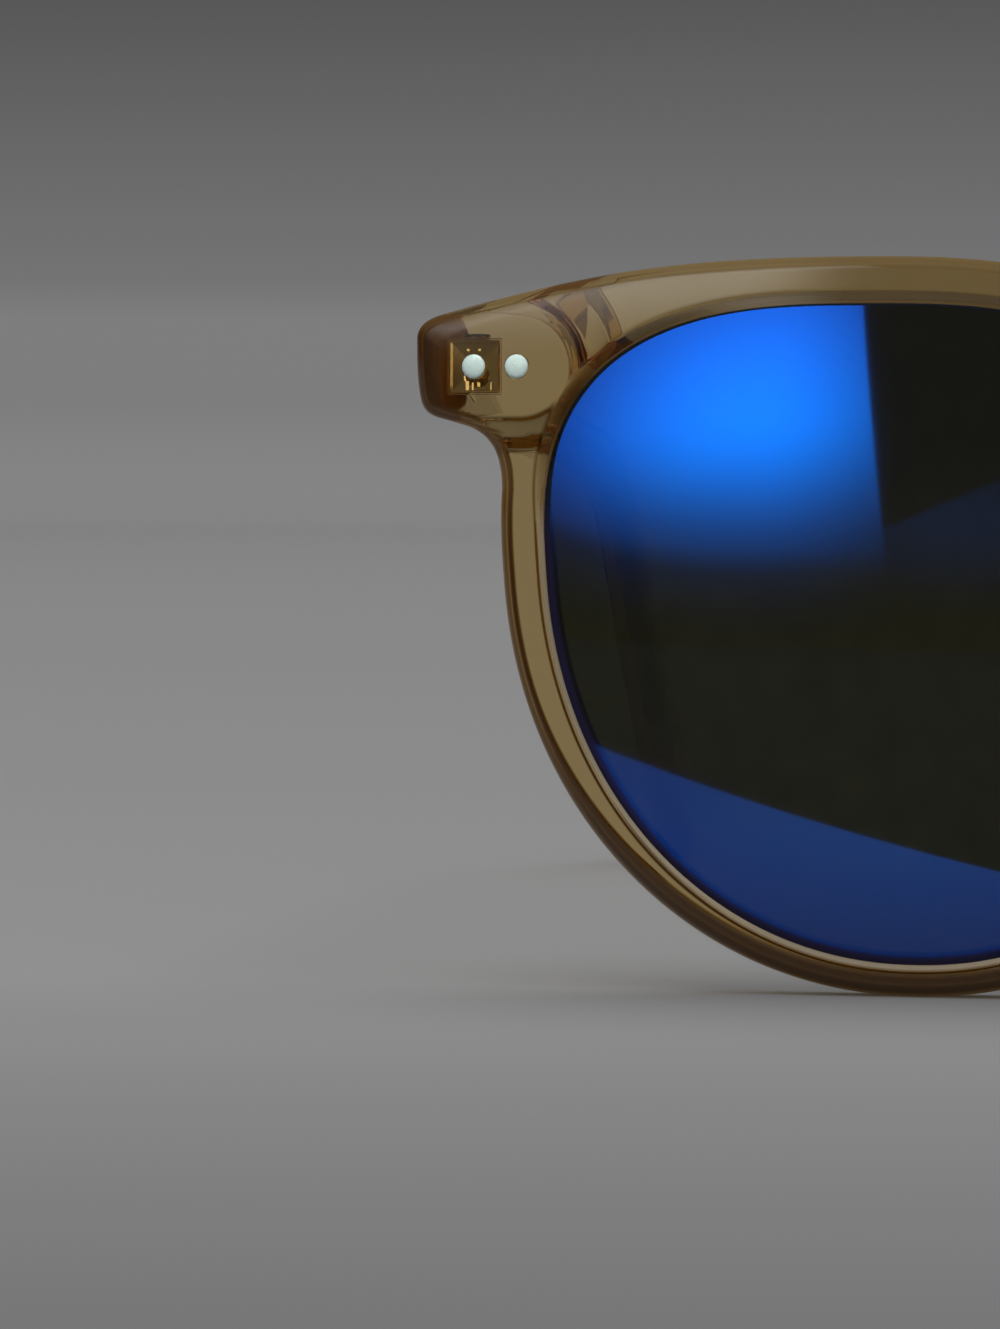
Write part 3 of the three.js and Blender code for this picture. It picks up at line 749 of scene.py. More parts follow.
lip_line = opening_point(np.linspace(0, 2 * math.pi, 1201))
outer_line = np.concatenate([outline, [[0.0, keyhole_rise]]])
print("lines:", len(turns), "shortest, mm:", reach.min().round(2))
print("lines that turn back:", int((np.diff(turns) > 0).sum()))

# %% [markdown]
# ## Thickness of the front
# On the back, a thick D-shaped block carries each hinge. It runs out into the brow in a long hollow curve and
# into the cheek in a short step. A nose pad stands on the nose side of each rim. Both are added heights on
# the rear sheet: the block from a distance to its D, the pad from an oval whose height falls away at its
# edge. The pad also leans outwards as it rises, which a plain height couldn't do, so its points are pushed
# sideways in step with the height.

# %% Heights on half the front
brow_away, brow_left = [0, 0.25, 0.65, 1.25, 3.4, 4.4, 5.4], [1, 0.92, 0.868, 0.635, 0.19, 0.05, 0]
cheek_away, cheek_left = [0, 0.25, 1.5, 2.2, 2.5], [1, 0.84, 0.66, 0.04, 0]
crown_start, crown_curve, crown_side, crown_run = 16.0, 0.01, 35.0, 14.0
pad_half_width, pad_half_length = 1.5, 7.2
pad_depth, pad_drop, pad_splay, pad_flare, pad_root = 5.4, 10.5, 1.9, 0.36, 0.35
crease_soft, run_out_soft = 0.04, 0.1
cheek_start, cheek_run = 1.5, 3.0


def quarter_round(depth, radius):
    """How far a quarter round of that radius falls away at a depth in from the edge."""
    left = radius - np.minimum(depth, radius)
    return radius - np.sqrt(np.maximum(radius**2 - left**2, 0))


def chamfer(depth, width):
    """How far a chamfer of 45 degrees falls away at a depth, with its crease softened."""
    left = width - depth
    return (left + np.hypot(left, crease_soft)) / 2


def block_share(x, z):
    """1 on the hinge block, then a run-out to 0: long towards the brow, short and stepped to the cheek."""
    out = block_out(x, z)
    nearby = np.linspace(-run_out_soft, run_out_soft, 5)
    to_brow = np.mean([np.interp(out + step, brow_away, brow_left) for step in nearby], axis=0)
    to_cheek = np.mean([np.interp(out + step, cheek_away, cheek_left) for step in nearby], axis=0)
    return to_brow + (to_cheek - to_brow) * crossing(end_rise - z, cheek_start, cheek_run)


def pad_share(x, z, edge):
    """Height of the nose pad from 0 to 1: a cube root of one minus the oval's squared radius."""
    feet = opening_point(np.linspace(0.6, 1.4, 400) * math.pi, rim_side / 2)
    foot = feet[np.abs(feet[:, 1] + pad_drop).argmin(), 0]
    across = (x - foot) * math.cos(pad_flare) + (z + pad_drop) * math.sin(pad_flare)
    along = (z + pad_drop) * math.cos(pad_flare) - (x - foot) * math.sin(pad_flare)
    oval = (across / pad_half_width) ** 2 + (along / pad_half_length) ** 2
    rooted = np.clip(edge / pad_root, 0, 1)
    return np.clip(1 - oval, 0, 1) ** (1 / 3) * rooted


print("block at the pin, share of its height:", block_share(pin_x, end_rise).round(2))

# %% [markdown]
# ## Where the plastic has painted amber, painted shade or a matt finish
# Each point of the sheets carries two more numbers for the finish. The first says how amber it looks, and
# past the plain tint that is painted light and shade: a painted deep amber on the rounding with a painted
# lighter line in it, painted paler where the rounding faces up, a painted amber line beside the lip, a
# painted glow in the cheek's inner corner, painted amber on the bevel over the top of the lens, and painted
# shade a little deeper in the brow between the bridge and the lens's crest. The hinge block is left clearer,
# because its thickness soaks up more light. The second says how matt it is: milled along the lip and a little
# dulled on the rounding, with more matt in the cheek's corner and over the fillet, where the matt finish's
# amber paints a glow.
# They could be painted by hand, but formulas of the distances follow every change of shape. A pair of
# numbers below is a start and a run, or a middle and a width, in millimetres or in shares of the rounding.

# %% Painted amber, painted shade and matt values
edge_matt, lip_matt, rear_matt = 0.18, 0.45, 0.5
# The band, its lighter line, the lip's line and the paler top are painted amber light.
band_end, band_outermost, band_inner = (0.95, 0.12), 0.6, (0.0, 0.3)
band_painted_light, band_painted_light_at = 0.5, (0.62, 0.07)
lip_painted_line, lip_painted_line_at = 0.8, (0.09, 0.09)
top_painted_light, top_facing = 0.7, (0.2, 0.7)
# Painted shade: the brow a little deeper between the bridge and the lens's crest.
brow_painted_shade, brow_outer, brow_inner, brow_level = 0.2, (44.0, -7.0), (8.0, 14.0), (12.0, 6.0)
# A painted amber glow in the cheek's inner corner, also made matt.
corner_painted_glow, corner_x, corner_z, corner_reach = 0.75, (58.2, 1.8), (12.0, 3.4), (0.4, 1.0)
# Extra matt over the fillet paints an amber glow there through the matt finish's colour.
fillet_painted_glow, fillet_x, fillet_z = 1.6, 56.0, (8.0, 3.5)
# Painted amber on the bevel over the top of the lens, outside the lens's crest.
bevel_painted_amber, bevel_clearer, bevel_outside = 0.42, 0.5, (44.0, 12.0)
chamfer_kept, clear_depth = 0.7, 2.9


def amber(outer, inner):
    """Painted amber light: deep on the rounding, paler where it looks up, with painted lines in it and by the
    lip.
    """
    along = np.roll(loop, -1, axis=0) - np.roll(loop, 1, axis=0)
    upward = along[:, :1] / np.linalg.norm(along, axis=1, keepdims=True)
    share = outer / rounding
    # Painted amber light on the rounding, a painted lighter line in it, a painted line beside the lip, all
    # painted paler where the edge faces up.
    band = band_outermost + (1 - band_outermost) * crossing(share, *band_inner)
    band *= (1 - crossing(share, *band_end)) * (1 - band_painted_light * hump(share, *band_painted_light_at))
    line = lip_painted_line * hump(inner - lip_width, *lip_painted_line_at)
    return np.maximum(band, line) * (1 - top_painted_light * crossing(upward, *top_facing))


def finish_values(places, outer, inner):
    """Painted amber, painted shade and matt for each place: the larger of what its edges and region add to
    the tint.
    """
    x, z = places[..., 0], places[..., 1]
    # deeper is painted shade in the brow.
    deeper = brow_painted_shade * crossing(x, *brow_outer) * crossing(x, *brow_inner) * crossing(z, *brow_level)
    # glow is a painted amber glow in the cheek's inner corner.
    glow = hump(x, *corner_x) * hump(z, *corner_z) * (1 - crossing(inner, *corner_reach))
    rounded = 1 - crossing(outer / rounding, *band_end)
    # The fillet's extra matt paints an amber glow.
    rounded *= 1 + fillet_painted_glow * hump(z, *fillet_z) * (x > fillet_x)
    chamfered = 1 - crossing(inner, chamfer_kept * lip_width, (1 - chamfer_kept) * lip_width)
    # outside marks the outer part of the bevel over the lens's top, which gets painted amber and is left less
    # matt.
    outside = over * crossing(x, *bevel_outside)
    milled = lip_matt * (1 - bevel_clearer * outside) * chamfered
    matt = np.maximum(np.maximum(edge_matt * rounded, milled), lip_matt * glow)
    added = np.maximum(back_y - face_sag(x) - rim_depth / 2, 0) * block_share(x, z)
    plain = plain_tint * (1 - np.clip(added / clear_depth, 0, 1))
    region = corner_painted_glow * glow + deeper + bevel_painted_amber * outside * chamfered
    tinted = np.maximum(amber(outer, inner), region)
    return np.stack([plain + (1 - plain_tint) * tinted, matt], axis=-1)


# %% [markdown]
# ## The front's walls
# The two sheets are joined by a wall along the outline and by the lens groove along the lip. Together they
# make a band that closes on itself round the opening. Its mirror image is the other half, and the two meet
# on the middle line of the bridge, where they share their points.

# %% Front piece
groove_clearance, seat_flat = 0.12, 0.4
front_steps, rear_steps, block_sharper = 6, 32, 0.5


def front_sheet():
    """The front: the bow, less the rounded edge and chamfer, and a brow that leans back as it rises."""
    places = plan(np.broadcast_to(even_shares(front_steps), (len(loop), front_steps)))
    x, z = places[..., 0], places[..., 1]
    outer, inner = distance(places, outer_line), distance(places, lip_line)
    fall = quarter_round(outer, rounding) + chamfer(inner, lip_width) * lip_fall / lip_width
    crown = crown_curve * np.maximum(z - crown_start, 0) ** 2 * crossing(x, crown_side, crown_run)
    y = face_sag(x) - rim_depth / 2 + fall + crown
    return np.concatenate([np.stack([x, y, z], axis=-1), finish_values(places, outer, inner)], axis=-1)


def rear_sheet():
    """The rear: the bow, less its edges, with the hinge block and the nose pad standing on it."""
    places = plan(crowded(rear_steps))
    x, z = places[..., 0], places[..., 1]
    outer, inner = distance(places, outer_line), distance(places, lip_line)
    block = block_share(x, z)
    pad = pad_share(x, z, np.minimum(outer, inner))
    fall = quarter_round(outer, rounding - block_sharper * block) + chamfer(inner, lip_chamfer)
    rear = face_sag(x) + rim_depth / 2
    y = rear + np.maximum(back_y - rear, 0) * block - fall + pad_depth * pad
    values = finish_values(places, outer, inner) * [1, rear_matt]
    return np.concatenate([np.stack([x + pad_splay * pad, y, z], axis=-1), values], axis=-1)


def groove_rows():
    """The lens groove, from rear to front: six rows of points stepping into the rim and out again."""
    half = lens_thickness / 2 + groove_clearance
    shoulder, floor = lens_seat / 2 + groove_clearance, lens_seat + groove_clearance
    steps = [(0, half), (shoulder, half), (floor, seat_flat * half)]
    steps += [(depth, -rise) for depth, rise in reversed(steps)]
    rows = []
    for depth, rise in steps:
        x, z = opening_point(turns, depth).T
        rows.append(np.stack([x, lens_middle(*lip.T) + rise, z, 0 * x, 0 * x + (depth > 0)], axis=-1))
    return np.stack(rows, axis=1)


def front_shell():
    """Front sheet, outer wall, rear sheet and groove as one band round the opening, then its mirror image.

    Returns the shell and its points' two values for the finish.
    """
    ahead, behind = front_sheet(), rear_sheet()
    share = np.array([0.25, 0.5, 0.75])[None, :, None]
    wall = ahead[:, -1:] + (behind[:, -1:] - ahead[:, -1:]) * share
    rings = np.concatenate([ahead, wall, behind[:, ::-1], groove_rows()], axis=1)
    points = rings.reshape(-1, 5)
    faces = grid_faces(*rings.shape[:2], True)
    on_middle = np.abs(points[:, 0]) < 1e-9
    faces = faces[~on_middle[faces].all(axis=1)]
    other = np.where(on_middle, np.arange(len(points)), -1)
    other[~on_middle] = len(points) + np.arange((~on_middle).sum())
    both = np.concatenate([points, points[~on_middle] * [-1, 1, 1, 1, 1]])
    places = both[:, :3]
    return (places, outward(places, [np.concatenate([faces, other[faces][:, ::-1]])])), both[:, 3:]


shell, values = front_shell()
front = new_object("front_plastic", shell)
# edge holds the plain tint with the painted amber light and shade.
keep(front, "edge", values[:, 0])
keep(front, "matt", values[:, 1])
print("front points:", len(front.data.vertices))

# %% [markdown]
# ## Lenses
# A lens is a shallow bowl of even thickness, cut to the opening's shape with a bevelled edge that seats in
# the groove. Rings that shrink from that edge to the middle carry it. The coat value that the finish reads
# is the distance from the opening on the front face, and a little more over the top, so that the mirror's
# painted shade by the rim keeps near the lower rim.

# %% Lens pieces
lens_rings = np.concatenate([[0.004], np.linspace(0.04, 0.92, 20), [0.95, 0.97, 0.985, 1.0]])
front_face, coat_run, coat_least = 0.45, 10.0, 0.02
coat_lift, coat_lift_run = 0.8, 10.0


def lens_ring(grow, share, behind):
    """The opening's edge grown and shrunk about the lens's middle, laid on the lens's sphere."""
    edge = opening_point(even_turns(300), grow)
    middle = np.array([lens_centre, opening_middle])
    place = middle + (edge - middle) * share
    return np.stack([place[:, 0], lens_middle(*place.T) + behind, place[:, 1]], axis=-1)


def lens_shell():
    """Rings from the front's middle out to the edge, over its bevel and back to the rear's middle."""
    half = lens_thickness / 2
    front_rings = [lens_ring(lens_seat / 2, share, -half) for share in lens_rings]
    bevel = [lens_ring(lens_seat, 1, side * seat_flat * half) for side in (-1, 1)]
    rear_rings = [lens_ring(lens_seat / 2, share, half) for share in lens_rings[::-1]]
    return skin(np.stack(front_rings + bevel + rear_rings))


shell = lens_shell()
x, y, z = shell[0].T
from_rim = distance(shell[0][:, [0, 2]], lip_line)
on_front = y < lens_middle(x, z) - front_face * lens_thickness
coat = on_front * np.clip((from_rim + coat_lift * ease(z / coat_lift_run)) / coat_run, coat_least, 1)
pair("sun_lens", "lens", lens_finish, shell, {"coat": coat}, crease=30)

# %% [markdown]
# ## Rivets
# A rivet is a turned part: one profile spun about its axis. The head is a low dome with a softened edge, and
# the shank below it shows through the plastic. Four hold the front leaves and four the temple leaves.

# %% Rivet pieces
rivet_head, rivet_head_depth, rivet_dome, rivet_soft = 1.75, 0.5, 0.03, 0.06
rivet_shank, rivet_length, rivet_point, rivet_tilt = 1.1, 1.7, 0.15, 0.055
point_share, under_share = 0.7, 0.96


def spun(radius, level, steps=56):
    """A profile of radii and levels carried round the z axis."""
    angle = np.linspace(0, 2 * math.pi, steps, endpoint=False)
    radius, level = np.asarray(radius)[:, None], np.asarray(level)[:, None]
    rings = [radius * np.cos(angle), radius * np.sin(angle), level + 0 * angle]
    return skin(np.stack(rings, axis=-1))


def rivet_shell(length):
    """A rivet with its head's face at z 0 and its shank below; the dome is a flat half ellipse."""
    head, shank = rivet_head / 2, rivet_shank / 2
    dome = np.linspace(1, 0.02, 12)
    lift = rivet_dome * np.sqrt(1 - dome**2 * 0.98)
    radius = [shank * point_share, shank, shank, head * under_share, head, *(head * dome)]
    under = -rivet_head_depth
    level = [-length, -length + rivet_point, under, under, under + rivet_soft, *lift]
    return spun(radius, level)


def onto_axes(shell, across, up, axis):
    """Turns a shell so that its x, y and z lie along three given directions."""
    return shell[0] @ np.array([across, up, axis]), shell[1]


def seated_rivet(shell, x):
    """A shell drawn up the z axis, turned to the front's bow at x and set on its face."""
    slope = x / face_radius
    level = np.array([1.0, slope, 0.0]) / math.hypot(1, slope)
    ahead = np.array([slope, -1.0, rivet_tilt])
    ahead /= np.linalg.norm(ahead)
    turned = onto_axes(shell, level, np.cross(ahead, level), ahead)
    return moved(turned, (x, face_sag(x) - rim_depth / 2, end_rise))


rivet_places = {"outer": pin_x, "inner": inner_rivet_x}
for part, x in rivet_places.items():
    shell = seated_rivet(rivet_shell(rivet_length), x)
    pair(f"front_rivet_head_{part}", f"front_rivet_{part}", rivet_metal, shell)

# %% [markdown]
# ## Pockets for the hinges and holes for the rivets
# Each hinge leaf's root is sunk into the block in a square pocket, and the sliver of air round it is what
# makes the box sparkle through the plastic. The rivets sit in stepped holes with a hair's gap. These walls
# cross the grid anywhere, so one Boolean takes them all out instead of bending the grid round them.

# %% Slabs, pockets and holes
leaf_width, leaf_height, leaf_clearance, hole_gap = 3.8, 3.86, 0.12, 0.05
pocket_corner, pocket_bevel, cut_past = 0.1, 0.05, 1.0


def rounded_box(half_width, half_height, corner, steps=6):
    """A rectangle's outline with quarter-circle corners, as points (n, 2)."""
    angle = np.linspace(0, math.pi / 2, steps)[None] + np.arange(4)[:, None] * math.pi / 2
    right = np.sign(np.cos(np.arange(4) * math.pi / 2 + math.pi / 4))[:, None]
    up = np.sign(np.sin(np.arange(4) * math.pi / 2 + math.pi / 4))[:, None]
    x = right * (half_width - corner) + corner * np.cos(angle)
    z = up * (half_height - corner) + corner * np.sin(angle)
    return np.stack([x.ravel(), z.ravel()], axis=-1)


def slab(edge, low, high, bevel, axis):
    """A convex outline given a depth along an axis, with a quarter-round bevel made by drawing it in."""
    after, before = np.roll(edge, -1, axis=0), np.roll(edge, 1, axis=0)
    along = after - before
    normal = np.stack([along[:, 1], -along[:, 0]], axis=-1)
    normal /= np.linalg.norm(normal, axis=1, keepdims=True)
    angle = np.linspace(0, math.pi / 2, 4)
    inset = bevel * (1 - np.sin(angle))
    rise = bevel * (1 - np.cos(angle))
    inset = np.concatenate([inset, inset[::-1]])
    depth = np.concatenate([low + rise, high - rise[::-1]])
    flat = edge[None] - normal[None] * inset[:, None, None]
    ends = flat[[0, -1]]
    ends = ends + (ends.mean(axis=1, keepdims=True) - ends) * 0.1
    flat = np.concatenate([ends[:1], flat, ends[1:]])
    depth = np.concatenate([depth[:1], depth, depth[-1:]])
    level = np.broadcast_to(depth[:, None], flat.shape[:2])
    first, second = flat[..., 0], flat[..., 1]
    order = {"x": (level, first, second), "y": (first, level, second), "z": (first, second, level)}
    return skin(np.stack(order[axis], axis=-1))


def leaf_pocket():
    """A slab as wide, high and deep as the leaf's root with its clearance, open at the back."""
    edge = rounded_box(leaf_width / 2 + leaf_clearance, leaf_height / 2 + leaf_clearance, pocket_corner, 4)
    room = slab(edge, -leaf_depth - leaf_clearance, cut_past, pocket_bevel, "y")
    return moved(room, (pin_x, back_y, end_rise))


def rivet_hole():
    """A rivet's own steps, a hair wider and deeper, and open above its head."""
    step = -rivet_head_depth - hole_gap
    head, shank = rivet_head / 2 + hole_gap, rivet_shank / 2 + hole_gap
    return spun([shank, shank, head, head], [-rivet_length - hole_gap, step, step, cut_past])


hollows = [leaf_pocket(), *(seated_rivet(rivet_hole(), x) for x in rivet_places.values())]
carve(front, joined(*(on_side(hollow, side) for hollow in hollows for side in sides.values())))
fitted(front, "front_frame", front_plastic, crease=50)

# %% [markdown]
# ## Temples
# A temple is a bar with rounded edges that narrows to a waist, bends down behind the ear and swells again to
# its tip. Its sections are rounded rectangles carried along a spine: straight, then an arc, then straight
# again. The outer flank stays flat, so the section's outer side, not its middle, follows the spine.

# %% Temple formula
temple_thickness, temple_height, waist_thickness, waist_height = 3.4, 6.6, 2.9, 4.9
tip_thickness, tip_height, tip_length, tip_inward, tip_thinning = 3.2, 6.4, 39.4, 3.5, 0.35
flank_inset, flank_length, straight_length = 0.2, 70.0, 92.0
ear_radius, ear_angle, temple_drop, temple_corner = 22.0, 0.75, 0.087, 0.95
butt_gap, butt_round, butt_run = 0.3, 0.3, 6.0
temple_length = straight_length + ear_radius * ear_angle + tip_length
temple_start = butt_gap - pin_setback
temple_side = end_x - flank_inset - pin_x


def spine(along):
    """The spine's y and z, its turn and how far it has drifted inwards, at lengths along it."""
    past = along - straight_length
    turn = np.clip(past / ear_radius, 0, ear_angle)
    beyond = np.maximum(0, past - ear_radius * ear_angle)
    y = np.minimum(along, straight_length) + ear_radius * np.sin(turn) + beyond * np.cos(turn)
    z = -ear_radius * (1 - np.cos(turn)) - beyond * np.sin(turn)
    inward = tip_inward * np.clip((along - flank_length) / (temple_length - flank_length), 0, None) ** 2
    return y + temple_start, z, turn, inward


def thickness_at(along):
    """Straight from the front's thickness to the waist's, then eased to the tip's."""
    front_share = np.clip(along / flank_length, 0, 1)
    front_part = temple_thickness + (waist_thickness - temple_thickness) * front_share
    share = ease((along - flank_length) / (temple_length - flank_length))
    return front_part + (tip_thickness - waist_thickness) * share


def height_at(along):
    """Eased from the front's height to the waist's, then to the tip's."""
    front_part = temple_height + (waist_height - temple_height) * ease(along / flank_length)
    share = ease((along - flank_length) / (temple_length - tip_height - flank_length))
    return front_part + (tip_height - waist_height) * share


def dropped(y, z):
    """Turns a level y and z down by the temple's slope."""
    sine, cosine = math.sin(temple_drop), math.cos(temple_drop)
    return y * cosine + z * sine, z * cosine - y * sine


def sections(along, outer, thickness, height, corner):
    """Rounded rectangles (row, column, 3) across the spine, dropped to the temple's slope about the pin."""
    steps = 9
    quarter = np.repeat(np.arange(4), steps)
    angle = (quarter + np.tile(np.linspace(0, 1, steps), 4)) * math.pi / 2
    right = np.where((quarter == 0) | (quarter == 3), 1, -1)
    up = np.where(quarter < 2, 1, -1)
    corner = corner[:, None]
    across = right * (thickness[:, None] / 2 - corner) + corner * np.cos(angle)
    above = up * (height[:, None] / 2 - corner) + corner * np.sin(angle)
    y, z, turn, inward = (value[:, None] for value in spine(along))
    lean = turn - temple_drop * (1 - ease(along / butt_run))[:, None]
    x = (outer - thickness / 2)[:, None] - inward + across
    level = y + above * np.sin(lean)
    rise = z + above * np.cos(lean)
    return np.stack([x, *dropped(level, rise)], axis=-1)


def temple_shell():
    """Sections from a softly rounded butt to a tip whose height falls as a half circle's does."""
    butt = np.linspace(0, math.pi / 2, 5)
    tip = np.linspace(0, 0.5 * math.pi, 16)[1:-1]
    round_start = temple_length - tip_height / 2
    along = np.concatenate([
        butt_round * (1 - np.cos(butt)),
        np.linspace(1.5, round_start, 130),
        round_start + tip_height / 2 * np.sin(tip),
    ])
    draw_in = np.zeros(len(along))
    draw_in[: len(butt)] = butt_round * (1 - np.sin(butt))
    tip_round = np.ones(len(along))
    tip_round[-len(tip):] = np.cos(tip)
    height = np.where(tip_round < 1, tip_height, height_at(along)) * tip_round - 2 * draw_in
    thinning = 1 - tip_thinning * (1 - tip_round**2) ** 2
    thickness = thickness_at(along) * thinning - 2 * draw_in
    corner = np.minimum(temple_corner, height * 0.4)
    outer = temple_side - draw_in
    return skin(sections(along, outer, thickness, height, corner))


print("temple length, mm:", round(temple_length, 2), "side from pin:", round(temple_side, 2))

# %% [markdown]
# ## Cutting the temple for its hinge
# The temple's front end is notched so that the barrels can turn, and the leaf's plate lies in a recess on its
# inner face. These are plain shapes with flat walls, so Booleans take them out of the lofted bar.

# %% Temple pieces
knuckle_radius, knuckle_height, knuckle_gap, notch_clearance = 1.3, 1.12, 0.1, 0.3
knuckle_stack = 3 * knuckle_height + 2 * knuckle_gap
plate_length, plate_height, plate_thickness = 11.0, 3.2, 0.9
screw_head_height, screw_clearance = 0.45, 0.08
arm_half_width, arm_half_length, arm_along, arm_corner = 0.9, 1.1, 0.95, 0.05
cut_bevel, cut_deeper = 0.02, 0.05
butt_amber, butt_matt = 0.78, 0.85
pin_inset = temple_side - temple_thickness
plate_start = knuckle_radius + notch_clearance + leaf_clearance
plate_end = plate_start + plate_length


def sloped(shell):
    """A shell drawn level along +Y, dropped to the temple's slope about the pin."""
    points = shell[0].copy()
    points[:, 1], points[:, 2] = dropped(shell[0][:, 1], shell[0][:, 2])
    return points, shell[1]


def plate_edge(grow):
    """The plate's outline in y and z: square at the pin, half round at its far end."""
    half = plate_height / 2 + grow
    angle = np.linspace(-math.pi / 2, math.pi / 2, 20)
    nose = np.stack([plate_end - half + grow + half * np.cos(angle), half * np.sin(angle)], axis=-1)
    heel = np.array([[plate_start - grow, half], [plate_start - grow, -half]])
    return np.concatenate([nose, heel])


def temple_cutters():
    """A cylinder for the barrels and the screw's head, a box for the arm and a slab for the plate."""
    half = knuckle_stack / 2 + notch_clearance
    notch = spun([knuckle_radius + notch_clearance] * 2, [-half, half + screw_head_height + screw_clearance])
    arm_half = knuckle_height / 2 + notch_clearance
    arm_edge = rounded_box(arm_half_width, arm_half_length, arm_corner, 3)
    arm = slab(arm_edge + [pin_inset + cut_deeper, arm_along], -arm_half, arm_half, cut_bevel, "z")
    floor = pin_inset + plate_thickness + cut_deeper
    recess = slab(plate_edge(leaf_clearance), pin_inset - cut_past, floor, cut_bevel, "x")
    return notch, arm, sloped(recess)


shell = temple_shell()
# The sawn butt is matt and deep brown: partly the sawn face's own colour, partly painted shade that stands
# for the dark bar seen behind it.
sawn = shell[0][:, 1] < temple_start + 2 * butt_round
values = {"edge": np.where(sawn, butt_amber, plain_tint), "matt": butt_matt * sawn}
cutters = [moved(cutter, pin) for cutter in temple_cutters()]
pair("temple_bar", "temple", temple_plastic, moved(shell, pin), values, cutters, crease=45)

# %% [markdown]
# ## Cores and temple rivets
# A flat steel wire is shot down the middle of each temple to keep its bend, and shows through the plastic. It
# thins towards the tip. The temple's rivets run in from the flank, through the bar and the plate.

# %% Core and temple rivet pieces
core_thickness, core_height, core_taper, core_from_tip = 1.2, 2.2, 0.6, 14.0
temple_rivet_pitch, rivet_short = 4.2, 0.2
core_start = plate_end + leaf_clearance + butt_gap


def core_shell():
    """Sections in the middle of the temple's, which taper evenly and are drawn in at both ends."""
    first, last = core_start - temple_start, temple_length - core_from_tip
    share = np.concatenate([[0.0, 0.001], np.linspace(0.004, 0.996, 110), [0.999, 1.0]])
    size = 1 + (core_taper - 1) * share
    size[[0, -1]] *= 0.7
    along = first + (last - first) * share
    thickness, height = core_thickness * size, core_height * size
    outer = temple_side - thickness_at(along) / 2 + thickness / 2
    return skin(sections(along, outer, thickness, height, thickness * 0.3))


pair("core_wire", "temple_core", core_metal, moved(core_shell(), pin))
drawn = onto_axes(rivet_shell(temple_thickness - rivet_short), (0, 1, 0), (0, 0, 1), (1, 0, 0))
for step, part in enumerate(("front", "rear")):
    along = plate_start + rivet_head + step * temple_rivet_pitch
    shell = moved(sloped(moved(drawn, (temple_side, along, 0))), pin)
    pair(f"temple_rivet_head_{part}", f"temple_rivet_{part}", rivet_metal, shell)

# %% [markdown]
# ## Hinge leaves
# A three-barrel hinge has two barrels on the front's leaf and one on the temple's, each with an arm that
# ties it to its plate. Seen from above, a barrel with its arm is a circle joined to a rectangle. Measured
# outwards from the pin that is one radius for each direction, so a barrel is a washer-like ring whose outer
# radius changes with direction. The front leaf's root shows through the plastic: its face leans back, so
# it mirrors the dark ceiling, and small facets on it lean to the window and glint.

# %% Hinge leaf pieces
screw_radius, tang_length, tang_depth, root_soft = 0.6, 2.0, 2.3, 0.2
arm_sunk, plate_bevel, barrel_bevel = 0.6, 0.1, 0.12
root_lean, facet_out, facet_up, facet_follow = 0.18, 0.144, 0.0835, 0.7
facet_low, facet_high, facet_bevel, facet_corner = -0.02, 0.6, 0.02, 0.04
facets = [
    (1.74, 0.0, 0.13, 1.75),
    (0.55, -1.4, 0.14, 0.36),
    (0.15, -1.45, 0.08, 0.3),
    (-0.3, -1.3, 0.12, 0.2),
    (-1.2, -1.35, 0.06, 0.4),
    (0.5, 1.2, 0.12, 0.1),
    (-0.35, 1.2, 0.12, 0.1),
]


def barrel(low, high, x_range, y_range):
    """A ring about the pin: its outer radius is the barrel's or a ray's way out of a rectangle, if larger."""
    bevel = barrel_bevel
    angle = np.linspace(0, 2 * math.pi, 120, endpoint=False)
    across, along = np.cos(angle), np.sin(angle)
    tiny = 1e-9
    to_x = np.where(across > 0, x_range[1], -x_range[0]) / np.maximum(np.abs(across), tiny)
    to_y = np.where(along > 0, y_range[1], -y_range[0]) / np.maximum(np.abs(along), tiny)
    outside = np.maximum(knuckle_radius, np.minimum(to_x, to_y))
    hole = np.full(len(angle), screw_radius + screw_clearance)
    radius = [hole, hole + bevel / 2, outside - bevel, outside - bevel * 0.3, outside]
    inset = [bevel / 2, 0, 0, bevel * 0.3, bevel]
    level = [high - step for step in inset] + [low + step for step in inset[::-1]]
    radius, level = np.stack(radius + radius[::-1]), np.array(level)[:, None] + 0 * angle
    return skin(np.stack([radius * across, radius * along, level], axis=-1), wrap=True)


def facet(foot, x, z, half_width, half_height):
    """A small plate whose face is sheared to look outwards and up at the window."""
    place = (x, foot + root_lean * (z + leaf_height / 2) * facet_follow, z)
    edge = rounded_box(half_width, half_height, facet_corner, 3)
    points, polygons = slab(edge, facet_low, facet_high, facet_bevel, "y")
    points[:, 1] += facet_out * points[:, 0] + facet_up * points[:, 2]
    return moved((points, polygons), place)


def front_leaf_shell():
    """A root whose sunk face is sheared back as it rises, with its facets and two barrels."""
    half, inside = knuckle_stack / 2, knuckle_height / 2 + knuckle_gap
    arm = ((-knuckle_radius, knuckle_radius * 0.5), (-pin_setback - arm_sunk, 0.0))
    face, foot = -pin_setback, -pin_setback - leaf_depth
    root = slab(rounded_box(leaf_width / 2, leaf_height / 2, root_soft), foot, face, root_soft, "y")
    sunk = root_lean * (root[0][:, 2] + leaf_height / 2)
    root[0][:, 1] += np.where(root[0][:, 1] < (foot + face) / 2, sunk, 0)
    glints = [facet(foot, *size) for size in facets]
    return joined(root, *glints, barrel(inside, half, *arm), barrel(-half, -inside, *arm))


